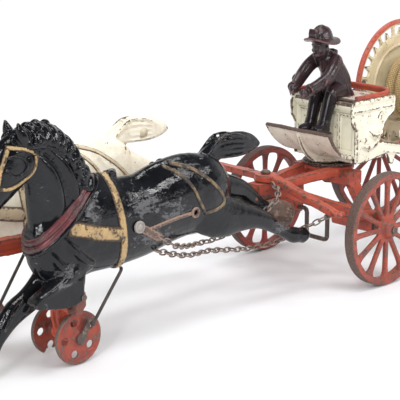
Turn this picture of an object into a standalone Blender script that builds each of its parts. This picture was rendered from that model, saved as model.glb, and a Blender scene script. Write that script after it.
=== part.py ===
# Cast iron toy fire hose wagon with a galloping two horse team.
# Metres, +Z up, wagon rear along +X, near side (the driver's left) along -Y.
# Everything is placed from the front axle's centre on the floor, then moved by ORIGIN_SHIFT.
import math

import bmesh
import bpy
from mathutils import Matrix, Vector

MM = 0.001

# Fits
SEAT_GAP = 0.3 * MM            # gap between pieces that touch
RUN_GAP = 0.08 * MM            # radial clearance of a turning shaft

# Wagon wheels
FRONT_WHEEL_R = 40 * MM
REAR_WHEEL_R = 60 * MM
TREAD_WIDTH = 7.8 * MM
RIM_DEPTH = 5 * MM
TRACK_OUTER = 125.4 * MM       # over the wheels' outer faces
WHEELBASE = 135 * MM
SPOKES = 12
SPOKE_WIDTH = 3.6 * MM
SPOKE_THICK = 3.6 * MM
HUB_R = 7 * MM
HUB_LENGTH = 14 * MM
AXLE_R = 1.7 * MM

# Crank in the front axle
CRANK_THROW = 20 * MM
CRANK_MID_Y = 5.5 * MM
CRANK_WIDTH = 20 * MM

# Fore carriage
KINGPIN_X = 6 * MM
KINGPIN_R = 2.5 * MM
TURNTABLE_R = 20 * MM
TURNTABLE_THICK = 2.7 * MM
TURNTABLE_Z = 76.8 * MM        # underside of the upper plate
BOLSTER_DEPTH = 9 * MM
HITCH_X = -60 * MM
HITCH_Z = 69 * MM
POLE_HEIGHT = 10 * MM
POLE_WIDTH = 7 * MM
POLE_TIP_X = -292 * MM
POLE_TIP_Z = 72 * MM

# Wagon body
BODY_HALF_WIDTH = 30 * MM
SIDE_THICK = 2.5 * MM
SEAT_DEPTH = 39 * MM
SEAT_TOP_Z = 124 * MM
FLOOR_Z = 83.5 * MM
FLOOR_THICK = 3 * MM
RAIL_HEIGHT = 8 * MM
RAIL_FRONT_Z = 90 * MM         # rail centre under the seat
RAIL_TAIL = 37 * MM            # rail beyond the rear axle
RAIL_END_X = WHEELBASE + RAIL_TAIL
STEP_CLEAR = 13.3 * MM         # rear step behind the rear axle
STEP_THICK = 3 * MM
REEL_X = 113 * MM
REEL_Z = 119 * MM

# Hose reel
REEL_R = 50 * MM
REEL_HALF_WIDTH = 23.5 * MM
REEL_RIM = 3.2 * MM
FLANGE_THICK = 2.4 * MM
OPENINGS = 16
OPENING_INNER = 38 * MM
OPENING_OUTER = 45.5 * MM
DRUM_R = 18 * MM
HOSE_R = 4.3 * MM
HOSE_TURNS = 4
REEL_AXLE_R = 2 * MM

# Team
HORSE_Y = 30 * MM              # horse centre from the wagon's centre plane
FAR_DX = -26 * MM              # the far horse is caught a little ahead
FAR_DZ = 5 * MM
SPLIT_GAP = 0.3 * MM
RIVET_R = 1.6 * MM
DRAFT_PIN_R = 1.6 * MM
TROLLEY_X = -249 * MM
TROLLEY_R = 16.4 * MM
TROLLEY_TREAD = 3 * MM
TROLLEY_HALF = 13.3 * MM
TROLLEY_HOLES = 5
TROLLEY_SHIFT = 11 * MM        # both trolleys run this much over towards the far side
BRACKET_PIN_R = 1.2 * MM
GALLOP_THROW = 11 * MM
GALLOP_ANGLE = 30              # degrees of the small crank, from straight up towards the rear
ROD_R = 1.1 * MM
ROD_GAP = 0.8 * MM             # the rod's eye from the end of its crank pin

# Chains
LINK_PITCH = 13 * MM           # from one upright ring to the next
LINK_R = 2.5 * MM
LINK_LONG = 5 * MM
LINK_WIRE = 0.7 * MM

ORIGIN_SHIFT = Vector((74.62 * MM, 0, 0))   # puts the origin under the middle of the whole toy

for thing in list(bpy.data.objects):
    bpy.data.objects.remove(thing, do_unlink=True)

PARTS = bpy.data.collections.new("toy_hose_wagon")
bpy.context.scene.collection.children.link(PARTS)


def material(name, colour, roughness, metallic=0.0):
    mat = bpy.data.materials.get(name) or bpy.data.materials.new(name)
    mat.use_nodes = True
    shader = mat.node_tree.nodes["Principled BSDF"]
    shader.inputs["Base Color"].default_value = (*colour, 1)
    shader.inputs["Roughness"].default_value = roughness
    shader.inputs["Metallic"].default_value = metallic
    return mat


RED = material("red_paint", (0.62, 0.09, 0.05), 0.5)
CREAM = material("cream_paint", (0.78, 0.72, 0.58), 0.5)
BLACK = material("black_enamel", (0.02, 0.02, 0.025), 0.25)
WHITE = material("white_enamel", (0.82, 0.79, 0.7), 0.4)
BROWN = material("bronze_paint", (0.09, 0.05, 0.05), 0.45)
IRON = material("bare_iron", (0.1, 0.08, 0.07), 0.6, 0.8)
HOSE = material("woven_hose", (0.62, 0.48, 0.25), 0.85)


def from_bmesh(name, bm):
    bmesh.ops.recalc_face_normals(bm, faces=bm.faces)
    mesh = bpy.data.meshes.new(name)
    bm.to_mesh(mesh)
    bm.free()
    obj = bpy.data.objects.new(name, mesh)
    PARTS.objects.link(obj)
    return obj


def bake(obj):
    """Replace an object by the mesh its modifiers or curve give, in world space."""
    bpy.context.view_layer.update()
    evaluated = obj.evaluated_get(bpy.context.evaluated_depsgraph_get())
    mesh = bpy.data.meshes.new_from_object(evaluated)
    mesh.transform(obj.matrix_world)
    bm = bmesh.new()
    bm.from_mesh(mesh)
    bmesh.ops.remove_doubles(bm, verts=bm.verts, dist=0.002 * MM)
    name = obj.name
    bpy.data.meshes.remove(mesh)
    bpy.data.objects.remove(obj, do_unlink=True)
    return from_bmesh(name, bm)


def boolean(obj, other, operation):
    modifier = obj.modifiers.new("join", "BOOLEAN")
    modifier.operation = operation
    modifier.solver = "EXACT"
    modifier.object = other
    result = bake(obj)
    bpy.data.objects.remove(other, do_unlink=True)
    return result


def join(name, pieces):
    whole = pieces[0]
    for piece in pieces[1:]:
        whole = boolean(whole, piece, "UNION")
    whole.name = name
    return whole


def cut(obj, *cutters):
    for cutter in cutters:
        name = obj.name
        obj = boolean(obj, cutter, "DIFFERENCE")
        obj.name = name
    return obj


def box(name, low, high):
    bm = bmesh.new()
    bmesh.ops.create_cube(bm, size=1)
    low = Vector(low)
    high = Vector(high)
    for vert in bm.verts:
        share = vert.co + Vector((0.5, 0.5, 0.5))
        vert.co = Vector([low[i] + share[i] * (high[i] - low[i]) for i in range(3)])
    return from_bmesh(name, bm)


def bar(name, start, end, width, height):
    """A square bar between two points, its width level."""
    start = Vector(start)
    end = Vector(end)
    along = (end - start).normalized()
    side = along.cross(Vector((0, 0, 1)))
    side = side.normalized() if side.length > 0.01 else Vector((0, 1, 0))
    up = side.cross(along)
    bm = bmesh.new()
    bmesh.ops.create_cube(bm, size=1)
    middle = (start + end) / 2
    for vert in bm.verts:
        c = vert.co.copy()
        vert.co = middle + along * c.x * (end - start).length + side * c.y * width + up * c.z * height
    return from_bmesh(name, bm)


def rod(name, start, end, radius, sides=12):
    """A round bar between two points."""
    start = Vector(start)
    end = Vector(end)
    bm = bmesh.new()
    turn = (end - start).to_track_quat("Z", "Y").to_matrix().to_4x4()
    matrix = Matrix.Translation((start + end) / 2) @ turn
    bmesh.ops.create_cone(bm, cap_ends=True, segments=sides, radius1=radius, radius2=radius,
                          depth=(end - start).length, matrix=matrix)
    return from_bmesh(name, bm)


def turned(name, profile, centre, side, steps):
    """Turn a closed (radius, outward) profile about the Y axis; side -1 is the near side."""
    bm = bmesh.new()
    points = [bm.verts.new((r, 0, z)) for r, z in profile]
    ring = profile[0][0] > 0
    for a, b in zip(points, points[1:] + points[:1] if ring else points[1:]):
        bm.edges.new((a, b))
    obj = from_bmesh(name, bm)
    screw = obj.modifiers.new("turn", "SCREW")
    screw.steps = steps
    screw.render_steps = steps
    screw.use_merge_vertices = True
    screw.merge_threshold = 0.00001
    obj.rotation_euler = (-side * math.pi / 2, 0, 0)
    obj.location = centre
    return bake(obj)


def plate(name, outline, low, high, plane="XZ", holes=()):
    """A flat outline with thickness, from low to high along the third axis."""
    curve = bpy.data.curves.new(name, "CURVE")
    curve.dimensions = "2D"
    curve.fill_mode = "BOTH"
    curve.extrude = (high - low) / 2
    for loop in (outline, *holes):
        spline = curve.splines.new("POLY")
        spline.points.add(len(loop) - 1)
        for point, (a, b) in zip(spline.points, loop):
            point.co = (a, b, 0, 1)
        spline.use_cyclic_u = True
    obj = bpy.data.objects.new(name, curve)
    PARTS.objects.link(obj)
    middle = (low + high) / 2
    if plane == "XZ":
        obj.rotation_euler = (math.pi / 2, 0, 0)
        obj.location = (0, middle, 0)
    else:
        obj.location = (0, 0, middle)
    return bake(obj)


def arc(cx, cz, radius, start, end, count):
    steps = [start + (end - start) * i / (count - 1) for i in range(count)]
    return [(cx + radius * math.cos(math.radians(a)), cz + radius * math.sin(math.radians(a)))
            for a in steps]


def smooth_points(points, count):
    """Points of a smooth curve through a short list of points."""
    points = [Vector(p) for p in points]
    ends = [points[0] * 2 - points[1]] + points + [points[-1] * 2 - points[-2]]
    result = []
    spans = len(points) - 1
    for i in range(count):
        t = spans * i / (count - 1)
        k = min(int(t), spans - 1)
        t -= k
        a, b, c, d = ends[k:k + 4]
        result.append(0.5 * (2 * b + (c - a) * t + (2 * a - 5 * b + 4 * c - d) * t * t
                             + (3 * b - a - 3 * c + d) * t * t * t))
    return result


def tube(name, points, radius, resolution=2):
    curve = bpy.data.curves.new(name, "CURVE")
    curve.dimensions = "3D"
    curve.bevel_depth = radius
    curve.bevel_resolution = resolution
    curve.use_fill_caps = True
    spline = curve.splines.new("POLY")
    spline.points.add(len(points) - 1)
    for point, place in zip(spline.points, points):
        point.co = (*place, 1)
    obj = bpy.data.objects.new(name, curve)
    PARTS.objects.link(obj)
    return bake(obj)


def loft(name, stations, offset=(0, 0, 0), sides=12):
    """Oval sections along a bent line: (x, z, half height, half width, y) in millimetres."""
    rows = [[value * MM for value in (*station, *(0,) * (5 - len(station)))] for station in stations]
    bm = bmesh.new()
    rings = []
    last = len(rows) - 1
    tips = []
    for i, (x, z, high, wide, y) in enumerate(rows):
        before = rows[max(i - 1, 0)]
        after = rows[min(i + 1, last)]
        along = Vector((after[0] - before[0], 0, after[1] - before[1])).normalized()
        normal = Vector((-along.z, 0, along.x))
        centre = Vector((x, y, z)) + Vector(offset)
        ring = []
        for k in range(sides):
            angle = 2 * math.pi * k / sides
            ring.append(bm.verts.new(centre + normal * high * math.cos(angle)
                                     + Vector((0, 1, 0)) * wide * math.sin(angle)))
        rings.append(ring)
        if i in (0, last):
            tips.append(bm.verts.new(centre + along * min(high, wide) * (0.45 if i else -0.45)))
    for a, b in zip(rings, rings[1:]):
        for k in range(sides):
            bm.faces.new((a[k], a[(k + 1) % sides], b[(k + 1) % sides], b[k]))
    for ring, tip in ((rings[0], tips[0]), (rings[-1], tips[1])):
        for k in range(sides):
            bm.faces.new((ring[k], ring[(k + 1) % sides], tip))
    return from_bmesh(name, bm)


def fuse(name, pieces, grain, faces):
    """Melt overlapping forms into one casting and thin its facets."""
    bm = bmesh.new()
    for piece in pieces:
        bm.from_mesh(piece.data)
        bpy.data.objects.remove(piece, do_unlink=True)
    obj = from_bmesh(name, bm)
    melt = obj.modifiers.new("melt", "REMESH")
    melt.mode = "VOXEL"
    melt.voxel_size = grain
    melt.adaptivity = 0
    soften = obj.modifiers.new("soften", "SMOOTH")
    soften.factor = 0.5
    soften.iterations = 2
    obj = bake(obj)
    thin = obj.modifiers.new("thin", "DECIMATE")
    thin.ratio = faces / (2 * len(obj.data.polygons))
    return bake(obj)


def mirrored(obj, name):
    """A copy on the other side of the centre plane."""
    bm = bmesh.new()
    bm.from_mesh(obj.data)
    bmesh.ops.transform(bm, matrix=Matrix.Scale(-1, 4, (0, 1, 0)), verts=bm.verts)
    bmesh.ops.reverse_faces(bm, faces=bm.faces)
    return from_bmesh(name, bm)


def copied(obj, name, shift=(0, 0, 0)):
    bm = bmesh.new()
    bm.from_mesh(obj.data)
    bmesh.ops.translate(bm, vec=Vector(shift), verts=bm.verts)
    return from_bmesh(name, bm)


def pivot(name, place, parent):
    empty = bpy.data.objects.new(name, None)
    empty.empty_display_size = 10 * MM
    PARTS.objects.link(empty)
    empty.parent = parent
    empty["place"] = tuple(place)
    origin = Vector(parent["place"]) if parent else Vector((0, 0, 0))
    empty.location = Vector(place) - origin
    return empty


def finish(obj, mat, body, sharp=35):
    """Give a node its material, smooth shading and its body's joint as its origin."""
    place = Vector(body["place"])
    obj.data.transform(Matrix.Translation(-place))
    obj.parent = body
    obj.data.materials.clear()
    obj.data.materials.append(mat)
    obj.data.shade_smooth()
    obj.data.set_sharp_from_angle(angle=math.radians(sharp))
    return obj


# Joints of the moving bodies, each an empty that its pieces hang from
ROOT = pivot("wagon_frame", (0, 0, 0), None)
FORE = pivot("fore_carriage_swivel", (KINGPIN_X, 0, TURNTABLE_Z), ROOT)
FRONT_AXLE = pivot("front_axle_spin", (0, 0, FRONT_WHEEL_R), FORE)
REAR_AXLE = pivot("rear_axle_spin", (WHEELBASE, 0, REAR_WHEEL_R), ROOT)
REEL = pivot("reel_spin", (REEL_X, 0, REEL_Z), ROOT)


def wagon_wheel(name, centre, radius, side):
    """A cast wheel: flat rim, twelve windows with round ends, long hub."""
    half = TREAD_WIDTH / 2
    web = SPOKE_THICK / 2
    inner = radius - RIM_DEPTH
    steps = 24
    profile = [(AXLE_R + SEAT_GAP, HUB_LENGTH / 2), (HUB_R * 0.75, HUB_LENGTH / 2),
               (HUB_R, web), (inner, web), (inner, half), (radius, half),
               (radius, -half), (inner, -half), (inner, -web), (HUB_R, -web),
               (HUB_R * 0.75, -HUB_LENGTH / 2), (AXLE_R + SEAT_GAP, -HUB_LENGTH / 2)]
    wheel = turned(name, profile, centre, side, steps)
    pitch = 2 * math.pi / SPOKES
    near_r = HUB_R + SPOKE_WIDTH * 0.9
    far_r = inner - 1.2 * MM
    bm = bmesh.new()
    for k in range(SPOKES):
        middle = pitch * (k + 0.5)
        near_a = pitch / 2 - SPOKE_WIDTH / 2 / near_r
        far_a = pitch / 2 - SPOKE_WIDTH / 2 / far_r
        window = [(near_r, -near_a * 0.8), (near_r, near_a * 0.8), (far_r - 3 * MM, far_a),
                  (far_r, 0), (far_r - 3 * MM, -far_a)]
        rings = []
        for depth in (-half, half):
            rings.append([bm.verts.new((centre[0] + r * math.cos(middle + a), centre[1] + depth,
                                        centre[2] + r * math.sin(middle + a))) for r, a in window])
        count = len(window)
        for i in range(count):
            j = (i + 1) % count
            bm.faces.new((rings[0][i], rings[0][j], rings[1][j], rings[1][i]))
        bm.faces.new(rings[0])
        bm.faces.new(rings[1])
    return cut(wheel, from_bmesh(name + "_windows", bm))


WHEEL_Y = TRACK_OUTER / 2 - TREAD_WIDTH / 2
for label, sign in (("near", -1), ("far", 1)):
    finish(wagon_wheel(label + "_front_wheel", (0, sign * WHEEL_Y, FRONT_WHEEL_R), FRONT_WHEEL_R, sign),
           RED, FRONT_AXLE)
    finish(wagon_wheel(label + "_rear_wheel", (WHEELBASE, sign * WHEEL_Y, REAR_WHEEL_R), REAR_WHEEL_R,
                       sign), RED, REAR_AXLE)
AXLE_END = WHEEL_Y + HUB_LENGTH / 2 + 1.5 * MM


def axle_caps(x, z, axle):
    """Join the peened heads that keep the wheels on an axle."""
    pieces = [axle]
    for sign in (-1, 1):
        inner = sign * (WHEEL_Y + HUB_LENGTH / 2 + SEAT_GAP)
        pieces.append(rod("cap", (x, inner, z), (x, sign * AXLE_END, z), AXLE_R * 1.7))
    return join(axle.name, pieces)


def crank_axle():
    """The front axle: one rod bent down into a square throw between the horses."""
    bend = 3 * MM
    low = FRONT_WHEEL_R - CRANK_THROW
    near = CRANK_MID_Y - CRANK_WIDTH / 2
    far = CRANK_MID_Y + CRANK_WIDTH / 2
    end = WHEEL_Y + HUB_LENGTH / 2 + 0.8 * MM
    high = FRONT_WHEEL_R
    path = [(0, -end, high), (0, near - bend, high), (0, near - bend * 0.3, high - bend * 0.3),
            (0, near, high - bend), (0, near, low + bend), (0, near + bend * 0.3, low + bend * 0.3),
            (0, near + bend, low), (0, far - bend, low), (0, far - bend * 0.3, low + bend * 0.3),
            (0, far, low + bend), (0, far, high - bend), (0, far + bend * 0.3, high - bend * 0.3),
            (0, far + bend, high), (0, end, high)]
    return axle_caps(0, high, tube("crank_axle", path, AXLE_R))


finish(crank_axle(), IRON, FRONT_AXLE)
rear_end = WHEEL_Y + HUB_LENGTH / 2 + 0.8 * MM
finish(axle_caps(WHEELBASE, REAR_WHEEL_R,
                 rod("rear_axle", (WHEELBASE, -rear_end, REAR_WHEEL_R), (WHEELBASE, rear_end, REAR_WHEEL_R),
                     AXLE_R)), IRON, REAR_AXLE)


# Fore carriage: the casting under the turntable, the splinter bar and the pole
PLATE_TOP = TURNTABLE_Z - SEAT_GAP
PLATE_LOW = PLATE_TOP - 3 * MM
CRANK_CLEAR = CRANK_THROW + AXLE_R + 1.5 * MM
SPLINTER_LOW = HITCH_Z + 5 * MM
NEAR_PIN = Vector((-96 * MM, 0, 72 * MM))
FAR_PIN = NEAR_PIN + Vector((FAR_DX, 0, FAR_DZ))


def fore_casting():
    bearing_in_near = CRANK_MID_Y - CRANK_WIDTH / 2 - 8 * MM
    bearing_in_far = CRANK_MID_Y + CRANK_WIDTH / 2 + 8 * MM
    bearing_out = WHEEL_Y - HUB_LENGTH / 2 - SEAT_GAP
    low = PLATE_LOW - BOLSTER_DEPTH
    bolster_half = 27 * MM
    pieces = [
        rod("plate", (KINGPIN_X, 0, PLATE_LOW), (KINGPIN_X, 0, PLATE_TOP), TURNTABLE_R - 2 * MM, 20),
        box("bolster", (-4 * MM, -bolster_half, low), (10 * MM, bolster_half, PLATE_LOW + 1 * MM)),
        box("hitch", (HITCH_X - 14 * MM, -6 * MM, HITCH_Z - 6.5 * MM),
            (HITCH_X + 12 * MM, 6 * MM, SPLINTER_LOW - SEAT_GAP)),
    ]
    for sign, bearing_in in ((-1, -bearing_in_near), (1, bearing_in_far)):
        inner = sign * bearing_in
        outer = sign * bearing_out
        pieces.append(bar("hound", (HITCH_X + 4 * MM, sign * 5 * MM, HITCH_Z + 0.5 * MM),
                          (KINGPIN_X - 4 * MM, sign * 14 * MM, PLATE_LOW - 1.5 * MM), 6 * MM, 6 * MM))
        pieces.append(box("axle_tree", (-5 * MM, min(inner, outer), FRONT_WHEEL_R - 4.5 * MM),
                          (5 * MM, max(inner, outer), FRONT_WHEEL_R + 10 * MM)))
        pieces.append(bar("leg", (3 * MM, sign * (bolster_half - 3 * MM), low + 2 * MM),
                          (0, sign * (bearing_out - 10 * MM), FRONT_WHEEL_R + 6 * MM), 8 * MM, 6 * MM))
        pieces.append(bar("brace", (HITCH_X + 6 * MM, sign * 6 * MM, HITCH_Z - 2 * MM),
                          (-2 * MM, sign * (bearing_out - 6 * MM), FRONT_WHEEL_R + 5 * MM),
                          5 * MM, 7 * MM))
    casting = join("fore_carriage", pieces)
    casting = cut(casting,
                  rod("axle_bore", (0, -80 * MM, FRONT_WHEEL_R), (0, 80 * MM, FRONT_WHEEL_R),
                      AXLE_R + RUN_GAP, 16),
                  rod("king_bore", (KINGPIN_X, 0, 40 * MM), (KINGPIN_X, 0, 90 * MM),
                      KINGPIN_R + RUN_GAP, 16),
                  rod("hitch_bore", (HITCH_X, 0, 40 * MM), (HITCH_X, 0, 90 * MM),
                      RIVET_R + SEAT_GAP, 12))
    return casting


fore = fore_casting()


def pole_z(x):
    """Height of the pole's centre line at x."""
    share = (x - POLE_TIP_X) / (HITCH_X - POLE_TIP_X)
    return POLE_TIP_Z + share * (HITCH_Z - 5 * MM - POLE_TIP_Z)


def team_pole():
    end = HITCH_X - 14 * MM - SEAT_GAP
    half = POLE_HEIGHT / 2
    top = [(x, pole_z(x) + half) for x in (POLE_TIP_X + 4 * MM, end)]
    low = [(x, pole_z(x) - half) for x in (end, POLE_TIP_X + 4 * MM)]
    shaft = plate("pole", top + low + [(POLE_TIP_X, POLE_TIP_Z)], -POLE_WIDTH / 2, POLE_WIDTH / 2)
    foot_z = pole_z(end)
    tongue = box("tongue", (end - 20 * MM, -POLE_WIDTH / 2, foot_z - half - 5 * MM),
                 (HITCH_X + 10 * MM, POLE_WIDTH / 2, HITCH_Z - 6.5 * MM - SEAT_GAP))
    pieces = [shaft, tongue]
    for sign, pin in ((-1, NEAR_PIN), (1, FAR_PIN)):
        base = pole_z(pin.x)
        pieces.append(box("lug", (pin.x - 4 * MM, min(0, sign * 7 * MM), base - 3 * MM),
                          (pin.x + 4 * MM, max(0, sign * 7 * MM), pin.z + 4 * MM)))
        pieces.append(rod("draft_pin", (pin.x, 0, pin.z), (pin.x, sign * (HORSE_Y - 3 * MM), pin.z),
                          DRAFT_PIN_R))
    pole = join("pole", pieces)
    return cut(pole, rod("hitch_bore", (HITCH_X, 0, 40 * MM), (HITCH_X, 0, 90 * MM),
                         RIVET_R + SEAT_GAP, 12))


finish(fore, RED, FORE)
finish(team_pole(), RED, FORE)


def splinter_bar():
    """The bar that the traces pull on; its near arm droops on this toy."""
    thick = 5 * MM
    mid = SPLINTER_LOW + thick / 2
    near_end = Vector((-45 * MM, -50 * MM, 57.5 * MM))
    far_end = Vector((HITCH_X + 2 * MM, 60 * MM, mid))
    pieces = [rod("boss", (HITCH_X, 0, SPLINTER_LOW), (HITCH_X, 0, SPLINTER_LOW + thick), 8 * MM, 16),
              bar("near_arm", (HITCH_X, -7.6 * MM, mid + 0.3 * MM), near_end, 8 * MM, thick),
              bar("far_arm", (HITCH_X, 0, mid), far_end, 7 * MM, thick * 0.8),
              rod("near_eye", near_end + Vector((0, -3 * MM, -1.5 * MM)),
                  near_end + Vector((0, -3 * MM, 2.5 * MM)), 4.5 * MM, 12),
              rod("far_eye", far_end + Vector((0, 2 * MM, -2 * MM)),
                  far_end + Vector((0, 2 * MM, 2 * MM)), 4.5 * MM, 12)]
    bar_solid = join("splinter_bar", pieces)
    holes = [rod("bore", (HITCH_X, 0, 40 * MM), (HITCH_X, 0, 90 * MM), RIVET_R + SEAT_GAP, 12)]
    for end, shift in ((near_end, -3.5 * MM), (far_end, 2.5 * MM)):
        x, y = end.x, end.y + shift
        holes.append(rod("eye_hole", (x, y, 40 * MM), (x, y, 90 * MM), 1.8 * MM, 10))
    return cut(bar_solid, *holes), near_end, far_end


splinter, NEAR_TRACE, FAR_TRACE = splinter_bar()
finish(splinter, RED, FORE)


def headed_pin(name, start, end, radius, head_r, head):
    """A rivet from start to end with a head beyond each end."""
    start = Vector(start)
    end = Vector(end)
    along = (end - start).normalized()
    return join(name, [rod(name, start - along * head * 0.5, end + along * head * 0.5, radius),
                       rod("head_a", start - along * head, start, head_r),
                       rod("head_b", end, end + along * head, head_r)])


hitch_low = pole_z(HITCH_X - 14 * MM - SEAT_GAP) - POLE_HEIGHT / 2 - 5 * MM
finish(headed_pin("hitch_rivet", (HITCH_X, 0, hitch_low - SEAT_GAP),
                  (HITCH_X, 0, SPLINTER_LOW + 5 * MM + SEAT_GAP), RIVET_R, 3.4 * MM, 1.8 * MM), IRON, FORE)


# Wagon body
SIDE_Y = BODY_HALF_WIDTH - SIDE_THICK
RAIL_SLOPE = (REAR_WHEEL_R + 5 * MM - RAIL_FRONT_Z) / (WHEELBASE - 26 * MM)


def rail_z(x):
    """Height of the body rail's centre line at x."""
    return RAIL_FRONT_Z + (x - 26 * MM) * RAIL_SLOPE


def body_side(name, sign):
    """One cast side: seat end with its scroll edge, sloping rail, reel post, axle boss."""
    half = RAIL_HEIGHT / 2
    seat_low = FLOOR_Z - FLOOR_THICK
    top = SEAT_TOP_Z + 1 * MM
    scroll = [(-1, 12), (-4, 10), (-6, 6), (-8.5, 2), (-12, -1), (-15, -6), (-17, -12), (-16, -18)]
    outline = [(0, seat_low), (0, top - 22 * MM), (-4 * MM, top - 16 * MM), (-5 * MM, top - 6 * MM),
               (-3 * MM, top), (SEAT_DEPTH + 3 * MM, top)]
    outline += [(SEAT_DEPTH + (3 + dx) * MM, top - (23 - dz) * MM) for dx, dz in scroll]
    rail_start = outline[-1][0]
    outline.append((rail_start + 3 * MM, rail_z(rail_start) + half))
    foot = 9 * MM
    outline += [(REEL_X - foot, rail_z(REEL_X - foot) + half), (REEL_X - 4.5 * MM, REEL_Z - 3 * MM)]
    outline += arc(REEL_X, REEL_Z, 5.5 * MM, 200, -20, 9)
    outline += [(REEL_X + 4.5 * MM, REEL_Z - 3 * MM), (REEL_X + foot, rail_z(REEL_X + foot) + half),
                (WHEELBASE + 12 * MM, rail_z(WHEELBASE + 12 * MM) + half),
                (RAIL_END_X - 4 * MM, rail_z(RAIL_END_X) + half), (RAIL_END_X, rail_z(RAIL_END_X))]
    outline += [(RAIL_END_X - 3 * MM, rail_z(RAIL_END_X) - half),
                (WHEELBASE + 9 * MM, rail_z(WHEELBASE + 9 * MM) - half)]
    outline += arc(WHEELBASE, REAR_WHEEL_R, 6.5 * MM, -10, -170, 7)
    outline += [(WHEELBASE - 9 * MM, rail_z(WHEELBASE - 9 * MM) - half),
                (45 * MM, rail_z(45 * MM) - half), (42 * MM, rail_z(42 * MM) - half - 8 * MM),
                (38 * MM, rail_z(38 * MM) - half - 8 * MM), (35 * MM, rail_z(35 * MM) - half),
                (14 * MM, seat_low)]
    low, high = sorted((sign * SIDE_Y, sign * BODY_HALF_WIDTH))
    side = plate(name, outline, low, high)
    return cut(side,
               rod("axle_bore", (WHEELBASE, -80 * MM, REAR_WHEEL_R), (WHEELBASE, 80 * MM, REAR_WHEEL_R),
                   AXLE_R + RUN_GAP, 16),
               rod("reel_bore", (REEL_X, -80 * MM, REEL_Z), (REEL_X, 80 * MM, REEL_Z),
                   REEL_AXLE_R + RUN_GAP, 16))


finish(body_side("near_body_side", -1), CREAM, ROOT)
finish(body_side("far_body_side", 1), CREAM, ROOT)

INSIDE_Y = SIDE_Y - SEAT_GAP
FLOOR_LOW = FLOOR_Z - FLOOR_THICK


def seat_box():
    """Front panel, seat and back panel of the driver's box, open underneath."""
    wall = 2.5 * MM
    top = SEAT_TOP_Z
    low = FLOOR_Z + SEAT_GAP
    outline = [(0, low), (0, top), (SEAT_DEPTH, top), (SEAT_DEPTH, top - 14 * MM),
               (SEAT_DEPTH - wall, top - 14 * MM), (SEAT_DEPTH - wall, top - 3 * MM),
               (wall, top - 3 * MM), (wall, low)]
    return plate("seat_box", outline, -INSIDE_Y, INSIDE_Y)


finish(seat_box(), CREAM, ROOT)
king_bore = rod("king_bore", (KINGPIN_X, 0, 40 * MM), (KINGPIN_X, 0, 90 * MM), KINGPIN_R + SEAT_GAP, 16)
body_floor = box("body_floor", (0, -INSIDE_Y, FLOOR_LOW), (SEAT_DEPTH - 4 * MM, INSIDE_Y, FLOOR_Z))
finish(cut(body_floor, copied(king_bore, "floor_bore")), CREAM, ROOT)


def seat_rail():
    """The low painted rim round the seat, open to the front."""
    outer = BODY_HALF_WIDTH - 0.5 * MM
    wide = 2.2 * MM
    low = SEAT_TOP_Z + 1 * MM + SEAT_GAP
    back = SEAT_DEPTH + 1.5 * MM
    plan = [(0, -outer), (back - 4 * MM, -outer), (back, -outer + 5 * MM), (back + 2 * MM, 0),
            (back, outer - 5 * MM), (back - 4 * MM, outer), (0, outer), (0, outer - wide),
            (back - 5 * MM, outer - wide), (back - wide, outer - 6 * MM), (back + 2 * MM - wide, 0),
            (back - wide, -outer + 6 * MM), (back - 5 * MM, -outer + wide), (0, -outer + wide)]
    return plate("seat_rail", plan, low, low + 3.6 * MM, "XY")


finish(seat_rail(), RED, ROOT)


def footboard():
    """A curled plate whose lip rises in front of the driver's feet."""
    thick = 2.4 * MM
    line = [(-0.3, 84.5), (-7, 88.2), (-14, 93.2), (-20.5, 98.6), (-26.5, 104.6), (-28.5, 106.4)]
    top = [(x * MM, z * MM) for x, z in line]
    under = [(x * MM - thick * 0.55, z * MM - thick) for x, z in line[::-1]]
    under[-1] = (-SEAT_GAP, FLOOR_LOW + 0.4 * MM)
    board = plate("footboard", top + under, -26 * MM, 26 * MM)
    rib = [(-0.3, 81), (-0.3, 86), (-7, 86.5), (-15, 92), (-22, 98.5), (-20, 92), (-13, 84.5), (-6, 81)]
    return join("footboard", [board, plate("rib", [(x * MM, z * MM) for x, z in rib], -2 * MM, 2 * MM)])


finish(footboard(), CREAM, ROOT)
turntable = rod("turntable_plate", (KINGPIN_X, 0, TURNTABLE_Z),
                (KINGPIN_X, 0, TURNTABLE_Z + TURNTABLE_THICK), TURNTABLE_R, 24)
finish(cut(turntable, king_bore), BLACK, ROOT)
KING_LOW = PLATE_LOW - BOLSTER_DEPTH
kingpin = join("kingpin", [
    rod("kingpin", (KINGPIN_X, 0, KING_LOW - 2.4 * MM), (KINGPIN_X, 0, FLOOR_Z + 2 * MM), KINGPIN_R),
    rod("nut", (KINGPIN_X, 0, KING_LOW - 2.2 * MM), (KINGPIN_X, 0, KING_LOW - SEAT_GAP), 5 * MM, 6),
    rod("head", (KINGPIN_X, 0, FLOOR_Z + SEAT_GAP), (KINGPIN_X, 0, FLOOR_Z + 2.5 * MM), 3.2 * MM, 12)])
finish(kingpin, BLACK, ROOT)
rear_low = rail_z(RAIL_END_X) - STEP_THICK
finish(box("rear_step", (WHEELBASE + AXLE_R + STEP_CLEAR, -INSIDE_Y, rear_low),
           (RAIL_END_X - 1 * MM, INSIDE_Y, rear_low + STEP_THICK)), CREAM, ROOT)


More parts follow.
